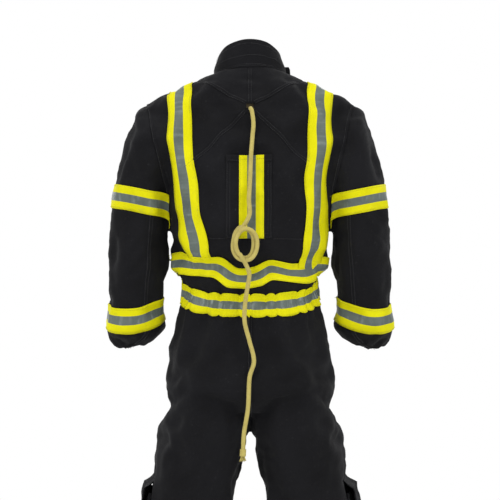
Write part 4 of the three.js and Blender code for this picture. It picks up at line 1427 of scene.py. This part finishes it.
def liner_of(c):
    """The CAD node that the lining at this place stands for, or None at the front opening."""
    if on_sleeve(c):
        return "sleeve_liner_left" if c.x > 0 else "sleeve_liner_right"
    if c.y < 0 and abs(c.x) < LINER_GAP_HALF and c.z > ZIP_BOTTOM_Z - BELOW_ZIP:
        return None
    return "trunk_liner" if c.z > WAIST_Z - 25 else "leg_liner"


def line_suit():
    """A loose lining inside the shell, in the four parts that the frame has."""
    bm = bmesh.new()
    bm.from_mesh(mesh_of("liner_form", fold_start, fold_faces))
    for x in (LINER_GAP_HALF, -LINER_GAP_HALF):
        cut(bm, (x, 0, 0), (1, 0, 0), lambda c: c.y < 0 and c.z > ZIP_BOTTOM_Z - 30)
    for side in (1, -1):
        cut(bm, *armhole_plane(side), beyond_arm_root(side))
    bm.normal_update()
    parts = faces_by_name(bm, liner_of)
    points = np.array([v.co for v in bm.verts]) / MM
    inward = points - np.array([v.normal for v in bm.verts]) * LINER_DEPTH
    bm.free()
    for name, faces in parts:
        used, faces = only_used(faces)
        body = name.replace("liner_", "") + "_body" if name.startswith("sleeve") else ROOT
        verts = tucked(inward[used], 0.7 * LINER_DEPTH)
        faces = [f for f in faces if depth_in(verts[list(f)].mean(0))[0] > LINER_DEPTH / 3]
        liner = piece("cloth_" + name, verts, faces, LINING, body, "lining", [name], thick=LINER_THICK)
        declare_panel(liner)


line_suit()


def softened(node, name, material, slot, body=ROOT, cell=9.0, hung=True, inside=None):
    """A CAD strip whose shape is right, split finely enough to hang with the cloth round it.
    inside keeps it at least that far inside the shell."""
    bm = bmesh.new()
    bm.from_mesh(NODES[node].data)
    bmesh.ops.remove_doubles(bm, verts=bm.verts, dist=0.00002)
    bmesh.ops.dissolve_limit(bm, angle_limit=0.002, verts=bm.verts, edges=bm.edges)
    for _ in range(5):
        bmesh.ops.triangulate(bm, faces=bm.faces)
        long_edges = [e for e in bm.edges if e.calc_length() > cell * MM]
        if not long_edges:
            break
        bmesh.ops.subdivide_edges(bm, edges=long_edges, cuts=1)
    bmesh.ops.triangulate(bm, faces=bm.faces)
    bm.verts.index_update()
    verts = np.array([v.co for v in bm.verts]) / MM
    faces = [tuple(v.index for v in f.verts) for f in bm.faces]
    bm.free()
    if inside is not None:
        verts = tucked(verts, inside)
    return piece(name, verts, faces, material, body, slot, [node], hung=hung)


for word in SIDES_OF_BODY:
    sleeve_body = f"sleeve_{word}_body"
    softened("cuff_elastic_" + word, "knit_cuff_" + word, KNIT, "elastic", sleeve_body, 6, inside=3.4)
    softened("harness_strap_" + word, "webbing_harness_" + word, WEBBING, "webbing", inside=3.2)
    softened("zip_tape_" + word, "cloth_zip_tape_" + word, DARKER, "black_cloth", hung=False)
softened("waist_elastic", "knit_waist", KNIT, "elastic", inside=3.4)
softened("hanger_loop", "cloth_hanger_loop", DARKER, "black_cloth", cell=3, hung=False)

# ------------------------------------------------------------------ thread, seams and hems
def path_frame(points, normals):
    """Points and normals as arrays, and the sideways direction at each point of the path."""
    points, normals = np.array(points, float), np.array(normals, float)
    return points, normals, np.cross(unit_rows(np.gradient(points, axis=0)), normals)


STITCH_LENGTH = 2.7
STITCH_PITCH = 3.9
STITCH_HALF = 0.42
STITCH_HIGH = 0.55


STITCH_FACES = [(r + k, r + (k + 1) % 4, r + (k + 1) % 4 + 4, r + k + 4) for r in (0, 4) for k in range(4)]
STITCH_FACES += [(0, 3, 2, 1), (8, 9, 10, 11)]


def stitches(points, normals, offset=0.0, closed=False):
    """A row of thread beside a path: for each stitch a small loaf, low at its ends."""
    points, normals = list(points), list(normals)
    if closed:
        points, normals = points + points[:1], normals + normals[:1]
    points, normals, sides = path_frame(points, normals)
    points = points + sides * offset
    gone = lengths_along(points)

    def at(place, table):
        return np.array([np.interp(place, gone, table[:, k]) for k in range(3)])

    parts = []
    for start in np.arange(0, gone[-1] - STITCH_PITCH, STITCH_PITCH):
        verts = []
        for share, size in ((0, 0.35), (0.5, 1), (1, 0.35)):
            place = start + share * STITCH_LENGTH
            p, n, side = at(place, points), at(place, normals), at(place, sides)
            for across, up in ((-1, -0.3), (-0.6, STITCH_HIGH * size), (0.6, STITCH_HIGH * size), (1, -0.3)):
                verts.append(p + side * STITCH_HALF * size * across + n * up)
        parts.append((np.array(verts), STITCH_FACES))
    return joined(parts) if parts else None


thread_parts = {}  # stitches by body and colour, joined into one piece each


def sew(points, normals, body=ROOT, colour="black", offsets=(0.0,), closed=False):
    for offset in offsets:
        row = stitches(points, normals, offset, closed)
        if row:
            thread_parts.setdefault((body, colour), []).append(row)


# Across a seam in half widths, and up from the cloth.
SEAM_PROFILE = ((-1, -0.6), (-0.85, 0.55), (-0.4, 0.8), (0, 0.7), (0.4, 0.8), (0.85, 0.55), (1, -0.6))


def seam(name, points, normals, body=ROOT, width=8.0, rows=(-2.6, 2.6), lift=0.5):
    """A felled seam: a low ridge of folded cloth with rows of stitches."""
    points, normals, sides = path_frame(points, normals)
    grid = []
    for p, n, s in zip(points, normals, sides):
        grid.append([p + s * across * width / 2 + n * (high * 0.9 + lift) for across, high in SEAM_PROFILE])
    strip_piece(name, grid, BLACK, body=body)
    sew(points + normals * (lift + 0.65), normals, body, offsets=rows)


def hits_along(rays):
    """Points and normals where rays meet the cloth, from the first that does up to the next that misses."""
    points, normals = [], []
    for origin, direction, limit in rays:
        direction = Vector(direction).normalized()
        place, normal, _, _ = skin_tree.ray_cast(Vector(origin), direction, limit)
        if place is None and points:
            break
        if place is None:
            continue
        points.append(place)
        normals.append(normal if normal.dot(direction) > 0 else -normal)
    return smoothed(points), smoothed(normals, unit=True)


def smoothed(rows, unit=False):
    """A list of points with its small steps evened out."""
    rows = evened_along(np.array([tuple(r) for r in rows], float), 3)
    return unit_rows(rows) if unit else rows


def away_from_cloth(points):
    """Directions straight off the cloth at these points."""
    normals = []
    for p in points:
        place, normal, _, _ = skin_tree.find_nearest(Vector(p))
        way = Vector(p) - place
        normals.append(way.normalized() if way.length > 0.3 else normal)
    return np.array([tuple(n) for n in normals])


def sew_on(path, body=ROOT, colour="black", closed=False):
    sew(path, away_from_cloth(path), body, colour, closed=closed)


def beside_edges(rows, share):
    """Two paths, this share of a column in from a grid's first and last columns."""
    return [rows[:, edge] + (rows[:, inside] - rows[:, edge]) * share for edge, inside in ((0, 1), (-1, -2))]


STEP = 4.0  # between the points of a seam
PORT_CLEAR = 9.0  # how far from the middle the seams of the X start
YOKE_SEAM_END = 113.0
SLEEVE_SEAMS = (("back", 0.27, 1, 9, 3), ("front", 0.3, -1, 7, 2))  # share across, way, width, stitches
UNDER_WAIST = 14.0
HEM_HIGH = 22.0


def x_seams(word, side):
    """The arms of the X on the back, that meet at the port."""
    out = np.arange(PORT_CLEAR, YOKE_SEAM_END, STEP) * side
    seam("seam_yoke_" + word, *hits_along([ray(x, PORT_Z + 2 + SEAM_RISE * abs(x)) for x in out]))
    out = np.arange(PORT_CLEAR, ARMPIT[0] - 13, STEP) * side
    seam("seam_back_" + word, *hits_along([ray(x, PORT_Z - 2 - SEAM_FALL * abs(x)) for x in out]))


def sleeve_seams(word, side):
    middle, out = armhole_plane(side)
    middle = middle - 3 * out
    ring = []
    for a in np.linspace(math.radians(-150), math.radians(150), 60):
        direction = (side * ARM_UP[0] * math.cos(a), math.sin(a), ARM_UP[1] * math.cos(a))
        ring.append((middle, direction, 200))
    seam("seam_armhole_" + word, *hits_along(ring), width=7, rows=(2.0,))
    down = np.arange(ARMPIT[1] - 30, CUFF_Z + 12, -STEP)
    for name, share, way, width, stitched in SLEEVE_SEAMS:
        rays = []
        for z in down:
            outer, inner = sleeve_at(z, 0), sleeve_at(z, 2)
            rays.append(((side * (inner + share * (outer - inner)), sleeve_at(z, 5), z), (0, way, 0), 110))
        rows = (-stitched, stitched)
        seam(f"seam_sleeve_{name}_{word}", *hits_along(rays), f"sleeve_{word}_body", width, rows)


def leg_seams(word, side):
    down = np.arange(WAIST_Z - UNDER_WAIST, ANKLE_Z + 4, -STEP)
    outside = [((side * leg_centre(z), 3, z), (side, 0, 0), 200) for z in down]
    seam("seam_outside_leg_" + word, *hits_along(outside), width=9, rows=(-3, 3))
    inside = [((side * leg_centre(z), 3, z), (-side, 0, 0), 200) for z in down if z < CROTCH_Z - 34]
    seam("seam_inside_leg_" + word, *hits_along(inside), width=8, rows=(-2.4, 2.4))
    hem = leg_ring_rays(ANKLE_Z + HEM_HIGH, side, 90)
    for height in (0, 5):
        sew(*hits_along([(shifted(o, height), d, limit) for o, d, limit in hem]), closed=True)


def shifted(origin, up):
    return (origin[0], origin[1], origin[2] + up)


for word, side in SIDES_OF_BODY.items():
    x_seams(word, side)
    sleeve_seams(word, side)
    leg_seams(word, side)
neck_up = np.arange(PORT_Z + 8, NECK_Z + NECK_TILT * 50, STEP)
seam("seam_centre_yoke", *hits_along([ray(0, z) for z in neck_up]), width=8)
seat = np.arange(WAIST_Z - UNDER_WAIST, CROTCH_Z + 14, -STEP)
seam("seam_seat", *hits_along([ray(0, z) for z in seat]), width=9, rows=(-3, 3))
pocket_low, pocket_high = box_of("back_pocket")
for word, start in (("left", pocket_high[0] + 2), ("right", pocket_low[0] - 2)):
    xs = np.linspace(start, math.copysign(armhole_x(ARMPIT[1]) - 28, start), 26)
    low_rays = [ray(x, pocket_low[2]) for x in xs]
    seam("seam_low_back_" + word, *hits_along(low_rays), width=5, rows=(0,), lift=0.1)
for rows, body, closed in taped:
    for path in beside_edges(rows, 0.44):
        sew_on(path, body, "yellow", closed)

# ------------------------------------------------------------------ pockets and flaps
def across_rays(node, way, rows, columns, top_first=False):
    """Rays over a node's whole outline. way is the direction it faces, (0, 1), (0, -1), (1, 0) or (-1, 0)."""
    low, high = box_of(node)
    heights = np.linspace(low[2], high[2], rows)
    xs, ys = (np.linspace(low[k], high[k], columns) for k in (0, 1))
    rays = []
    for z in heights[::-1] if top_first else heights:
        if way[0]:
            rays.append([((way[0] * leg_centre(z), y, z), (way[0], 0, 0), 200) for y in ys])
        else:
            rays.append([ray(x, z, way[1]) for x in xs])
    return rays


SEWN = 1.3  # how far the edge of a sewn-on piece stands off the cloth


def pouch(depth, square=6, foot=5, mouth_share=1.0):
    """How far a patch pocket stands off: sewn down at its sides and foot, and loose at its mouth."""

    def lift(up, across):
        side = 1 - abs(2 * across - 1) ** square
        rise = 1 - (1 - up) ** foot
        sag = 0.82 + 0.18 * math.sin(7 * up + 5 * across)
        return SEWN + depth * side * rise * (0.5 + 0.5 * up * mouth_share) * sag

    return lift


def outline_of(rows, inset):
    """A path round a grid's edge, some rows and columns in from it: up one side, and back down the other."""
    first = rows[inset:, inset]
    foot = rows[inset, inset:-inset]
    last = rows[inset:, -1 - inset]
    return np.vstack([first[::-1], foot[1:-1], last])


POCKET_DEPTH = 9.5
HEM = 17.0
STRIP_LIFT = 1.9  # of the tape's face over the pocket
pocket_lift = pouch(POCKET_DEPTH)
pocket_rays = across_rays("back_pocket", (0, 1), 48, 34)
pocket_rows = laid(pocket_rays, pocket_lift)
strip_piece("cloth_back_pocket", pocket_rows, BLACK, stands_for=["back_pocket"], thick=1.5)
sew_on(outline_of(pocket_rows, 1))
sew_on(outline_of(pocket_rows, 3))


def hem_lift(up, across):
    return pocket_lift(1 - 0.09 * (1 - up), across) + 0.9 + 0.3 * math.sin(up * 3.1)


hem_rays = [row for row in pocket_rays if row[0][0][2] > pocket_high[2] - HEM]
hem_rows = laid(hem_rays, hem_lift)
strip_piece("cloth_back_pocket_hem", hem_rows, BLACK, thick=1.2)
sew_on(hem_rows[1][1:-1])

strip_low, strip_high = box_of("back_strip_tape")
strip_xs = np.linspace(strip_low[0], strip_high[0], ACROSS)
strip_rays = [[ray(x, z) for x in strip_xs] for z in np.linspace(strip_low[2] + 1, strip_high[2] - 1, 44)]


def on_pocket(up, across):
    place = strip_low + np.array((across, 0, up)) * (strip_high - strip_low)
    share_x, _, share_z = (place - pocket_low) / (pocket_high - pocket_low)
    return pocket_lift(float(np.clip(share_z, 0, 1)), float(share_x)) + STRIP_LIFT


strip_rows = laid(strip_rays, on_pocket)
strip_piece("tape_back_strip", strip_rows, stands_for=["back_strip_tape"], **tape_look)
for path in beside_edges(strip_rows, 0.4):
    sew_on(path, colour="yellow")
sew_on(strip_rows[-3])


CORNER = 0.33  # how far up a flap's side its lower corner is cut off
CORNER_START = 0.62  # how far out from the middle of its edge the cut starts


def shaped_flap(rows):
    """The flap with its two lower corners taken off."""
    down = np.linspace(0, 1, rows.shape[0])[:, None]
    out = np.abs(np.linspace(-1, 1, rows.shape[1]))
    edge = np.clip(out - CORNER_START, 0, None) / (1 - CORNER_START)
    return rows + (rows[:1] - rows) * (edge * CORNER * down)[:, :, None]


def pocket_with_flap(pocket, flap, body, way, depth, fold_rise):
    """A patch pocket, and the flap that closes it with the fold of cloth it hangs from."""
    rows = laid(across_rays(pocket, way, 34, 26), pouch(depth, 8, 6, 0.7))
    strip_piece("cloth_" + pocket, rows, BLACK, stands_for=[pocket], thick=1.5)
    sew_on(outline_of(rows, 1))
    sew_on(outline_of(rows, 2))
    top_lift = depth + SEWN + 2.6

    def hanging(down, across):
        return top_lift + 1.2 * math.sin(3.1 * down) - 0.8 * abs(2 * across - 1) ** 4

    flap_rows = shaped_flap(laid(across_rays(flap, way, 16, 24, top_first=True), hanging))
    strip_piece("cloth_" + flap, flap_rows, BLACK, body=body, stands_for=[flap], thick=1.7)
    sew_on(outline_of(flap_rows[::-1], 1), body)
    top_rays = across_rays(flap, way, 2, 24)[1]
    rises = np.linspace(fold_rise, 0, 7)
    fold_rays = [[(shifted(o, up), d, limit) for o, d, limit in top_rays] for up in rises]
    fold_rows = laid(fold_rays, lambda down, across: 0.8 + (top_lift - 0.8) * down**1.4)
    strip_piece("cloth_" + flap + "_fold", fold_rows, BLACK, thick=1.6)
    sew_on(fold_rows[1])


pocket_with_flap("chest_pocket", "chest_pocket_flap", "chest_flap_body", (0, -1), 7.5, 9)
for word, side in SIDES_OF_BODY.items():
    flap_body = f"thigh_flap_{word}_body"
    pocket_with_flap(f"thigh_pocket_{word}", f"thigh_pocket_flap_{word}", flap_body, (side, 0), 17.0, 20)

# ------------------------------------------------------------------ collar
COLLAR_ROWS = 14
COLLAR_COLUMNS = 130


def collar_grid(node, low_extra):
    """A grid from the foot of the collar to its rim, smoothed between the flats of the CAD shape.
    low_extra runs it on under the trunk's cloth."""
    tree = tree_of(node)
    turns = turn_of(cad_verts(node))
    turns = np.linspace(turns.min() + 0.02, turns.max() - 0.02, COLLAR_COLUMNS)
    low, high = low_of(node)[2] - 1, high_of(node)[2] + 1
    edges, radii = [], []
    for turn in turns:
        found = edges_at(tree, low, high, lambda z: ((0, 0, z), facing(turn)))
        heights = np.linspace(found[0] + 0.6, found[1] - 0.6, COLLAR_ROWS)
        edges.append((found[0] - low_extra, found[1]))
        radii.append([reach(tree, (0, 0, z), facing(turn), (0, 0, 0)) or np.nan for z in heights])
    edges, radii = evened(np.array(edges)), evened(np.array(radii))
    grid = []
    for r in range(COLLAR_ROWS):
        heights = edges[:, 0] + (edges[:, 1] - edges[:, 0]) * r / (COLLAR_ROWS - 1)
        rows = zip(turns, radii[:, r], heights)
        grid.append([np.array(facing(turn)) * radius + (0, 0, z) for turn, radius, z in rows])
    return np.array(grid)


def evened(table):
    """Each column of a table, filled where a ray found nothing, and smoothed along it."""
    for column in table.T:
        missing = np.isnan(column)
        places = np.arange(len(column))
        column[missing] = np.interp(places[missing], places[~missing], column[~missing])
    return evened_along(table, 14)


collar = collar_grid("collar_outer", low_extra=7)
RIPPLES = np.random.default_rng(5).normal(size=(3, 2))  # height and phase
FOOT_IN = 2.11  # how far the collar's foot goes under the yoke


def ripple(turn):
    return sum(a * math.sin((k + 2) * turn + b) for k, (a, b) in enumerate(RIPPLES))


for r, row in enumerate(collar):
    up = r / (COLLAR_ROWS - 1)
    for c, point in enumerate(row):
        turn = 2 * math.pi * c / len(row)
        foot = FOOT_IN * max(0, 1 - up / 0.16)
        stand = 0.7 * ripple(turn) * up + 0.6 * math.sin(9 * turn) * up * up - foot
        row[c] = point + point * (1, 1, 0) / np.linalg.norm(point[:2]) * stand
strip_piece("cloth_collar", collar, BLACK, stands_for=["collar_outer"], thick=2.0, hung=False)
facing_grid = collar_grid("collar_lining", low_extra=4)
strip_piece("cloth_collar_facing", facing_grid, DARKER, stands_for=["collar_lining"], thick=1.4, hung=False)


def normals_round(points):
    """Level directions away from the middle of the neck."""
    return unit_rows(points * (1, 1, 0))


RIM_RADIUS = 2.3
rim = collar[-1]
rim_line = even_curve(rim - normals_round(rim) * 1.9 + (0, 0, -0.6), 3.0)
piece("cloth_collar_rim", *tube_mesh(tube_along(rim_line, even_radius(RIM_RADIUS), 12)), BLACK, hung=False)
for share, offsets in ((0.16, (-1.2, 1.6)), (0.5, (0,)), (0.86, (0,))):
    line = collar[int(round(share * (COLLAR_ROWS - 1)))]
    sew(line + normals_round(line) * 0.2, normals_round(line), offsets=offsets)

softened("throat_tab", "cloth_throat_tab", BLACK, "black_cloth", "throat_tab_body", 4, hung=False)

# ------------------------------------------------------------------ storm flap, zip and patch
FLAP_SEWN, FLAP_FREE = 3.4, 5.4
PULL_ROOM = 6.6  # from the teeth to the flap's face, so that the pull runs under it
FRONT_LEAN = abs(JOINTS["zip_run"]["axis"][1] / JOINTS["zip_run"]["axis"][2])


def zip_depth(z):
    """Depth of the outer face of the teeth: the frame's, which follows the lean of the chest."""
    low = low_of("zip_teeth_left")
    return low[1] + FRONT_LEAN * (z - low[2])


def over_zip(room):
    """Moves hung points out to leave room for the slider and its pull down the middle."""

    def moved(verts):
        face = zip_depth(verts[:, 2]) - room
        share = np.clip((20 - np.abs(verts[:, 0])) / 10, 0, 1)
        verts[:, 1] += np.where(verts[:, 1] > face, share * (face - verts[:, 1]), 0)
        return verts

    return moved


def storm_lift(down, across):
    """across is 0 at the free edge and 1 where the flap is sewn on."""
    bulge = 1.6 * math.sin(math.pi * across) + 0.25 * math.sin(40 * down)
    return FLAP_FREE + (FLAP_SEWN - FLAP_FREE) * across + bulge


def storm_flap():
    """The flap over the zip, with its stitching and its two pieces of tape."""
    body = "storm_flap_body"
    rows = laid(across_rays("storm_flap", (0, -1), 96, 15, top_first=True), storm_lift)
    look = dict(body=body, stands_for=["storm_flap"], thick=1.8)
    strip_piece("cloth_storm_flap", rows, BLACK, over=over_zip(PULL_ROOM), **look)
    for share in (0.35, 1.15):
        for path in beside_edges(rows, share):
            sew_on(path, body)
    for level in ("chest", "waist"):
        node = "storm_flap_tape_" + level
        low, high = box_of(node)
        heights = np.linspace(low[2], high[2], ACROSS)
        rays = [[ray(x, z, -1) for z in heights] for x in np.linspace(low[0], high[0], 22)]
        rows = laid(rays, lambda across, up: storm_lift(0.5, across) + 1.5)
        look = dict(tape_look, body=body, stands_for=[node])
        strip_piece("tape_storm_" + level, rows, over=over_zip(PULL_ROOM + 1.5), **look)
        for path in beside_edges(rows, 0.4):
            sew_on(path, body, "yellow")


storm_flap()

TOOTH_PITCH = 3.4
TOOTH = ((-0.5, 0.9), (-0.1, 1.15), (1.1, 1.0), (2.9, 1.2), (3.1, 0.9))  # across from the middle, half height
TOOTH_DEPTHS = (0.2, 4.0)
EASED = 0.88  # size of a plate's faces, of its middle


def zip_teeth(side):
    """One row of teeth. The right row is half a pitch lower, so that the rows mesh."""
    low, high = low_of("zip_teeth_left")[2], high_of("zip_teeth_left")[2]
    faces = []
    for a in range(0, 4 * (len(TOOTH) - 1), 4):
        faces += [(a, a + 1, a + 5, a + 4), (a + 2, a + 6, a + 7, a + 3)]
        faces += [(a, a + 4, a + 6, a + 2), (a + 1, a + 3, a + 7, a + 5)]
    end = 4 * (len(TOOTH) - 1)
    faces += [(0, 2, 3, 1), (end, end + 1, end + 3, end + 2)]
    if side < 0:
        faces = [f[::-1] for f in faces]
    parts = []
    shift = 0 if side > 0 else TOOTH_PITCH / 2
    for z in np.arange(low + 1.2 + shift, high - 1, TOOTH_PITCH):
        verts = []
        for across, half in TOOTH:
            for depth in TOOTH_DEPTHS:
                verts += [(side * (across + 0.5), zip_depth(z) + depth, z + up) for up in (half, -half)]
        parts.append((np.array(verts), faces))
    return joined(parts)


def brass_piece(name, parts, body, node):
    return piece(name, *joined(parts), BRASS, body, "brass", [node], hung=False)


for word, side in SIDES_OF_BODY.items():
    teeth = brass_piece("brass_teeth_" + word, [zip_teeth(side)], ROOT, "zip_teeth_" + word)
    teeth.data.polygons.foreach_set("use_smooth", [False] * len(teeth.data.polygons))


def rounded_plate(outline, front, back, middle_z):
    """A plate of this (x, z) outline with its edges eased, leaning as the chest does."""
    outline = np.array(outline, float)
    centre = outline.mean(0)
    rings = []
    for share, size in ((0, EASED), (0.3, 1.0), (0.7, 1.0), (1, EASED)):
        depth = back + share * (front - back)
        ring = centre + (outline - centre) * size
        rings.append([(x, depth + FRONT_LEAN * (z - middle_z), z) for x, z in ring])
    return tube_mesh(rings)


def zip_slider():
    """Two plates, wide at the shoulders, with a bridge between them."""
    low, high = box_of("zip_slider")
    middle = (low[2] + high[2]) / 2
    half, long = high[0], (high[2] - low[2]) / 2
    right_side = [(0.55, -1), (1, 0.1), (1, 0.75), (0.5, 1)]
    outline = [(half * x, long * z) for x, z in right_side]
    outline += [(-x, z) for x, z in outline[::-1]]
    plate = [(x, middle + z) for x, z in outline]
    bridge = [(x * 0.3, middle + long * 0.62 + z * 0.3) for x, z in outline]
    front, back = low[1] + FRONT_LEAN * long, high[1] - FRONT_LEAN * long
    parts = [(plate, front, front + 1.2), (plate, back - 1.2, back), (bridge, front + 1, back - 1)]
    plates = [rounded_plate(*part, middle) for part in parts]
    brass_piece("brass_slider", plates, "slider_body", "zip_slider")


def zip_pull():
    """A loop of wire, wider below, with a small plate to grip."""
    low, high = box_of("zip_pull")
    _, y, middle = (low + high) / 2
    wire = 0.7
    half, tall = high[0] - wire - 0.1, (high[2] - low[2]) / 2 - wire - 0.1
    loop = []
    for a in np.linspace(0, 2 * math.pi, 41):
        z = tall * math.sin(a)
        loop.append((half * (1 - 0.25 * math.sin(a)) * math.cos(a), y + FRONT_LEAN * z, middle + z))
    grip = [(x * 0.72, middle + z) for x, z in ((-3, -10), (3, -10), (2.6, -2), (-2.6, -2))]
    plate = rounded_plate(grip, y - 0.5, y + 0.5, middle)
    ring = tube_mesh(tube_along(np.array(loop), even_radius(wire), 10))
    brass_piece("brass_pull", [ring, plate], "pull_body", "zip_pull")


zip_slider()
zip_pull()
softened("mic_patch", "pile_name_patch", PILE, "hook_and_loop", cell=2.5, hung=False)

# ------------------------------------------------------------------ all the thread, joined
thread_looks = {"black": (THREAD, "black_cloth"), "yellow": (YELLOW_THREAD, "reflective_tape")}
for (body, colour), parts in sorted(thread_parts.items()):
    material, slot = thread_looks[colour]
    piece(f"thread_{colour}_{body}", *joined(parts), material, body, slot)
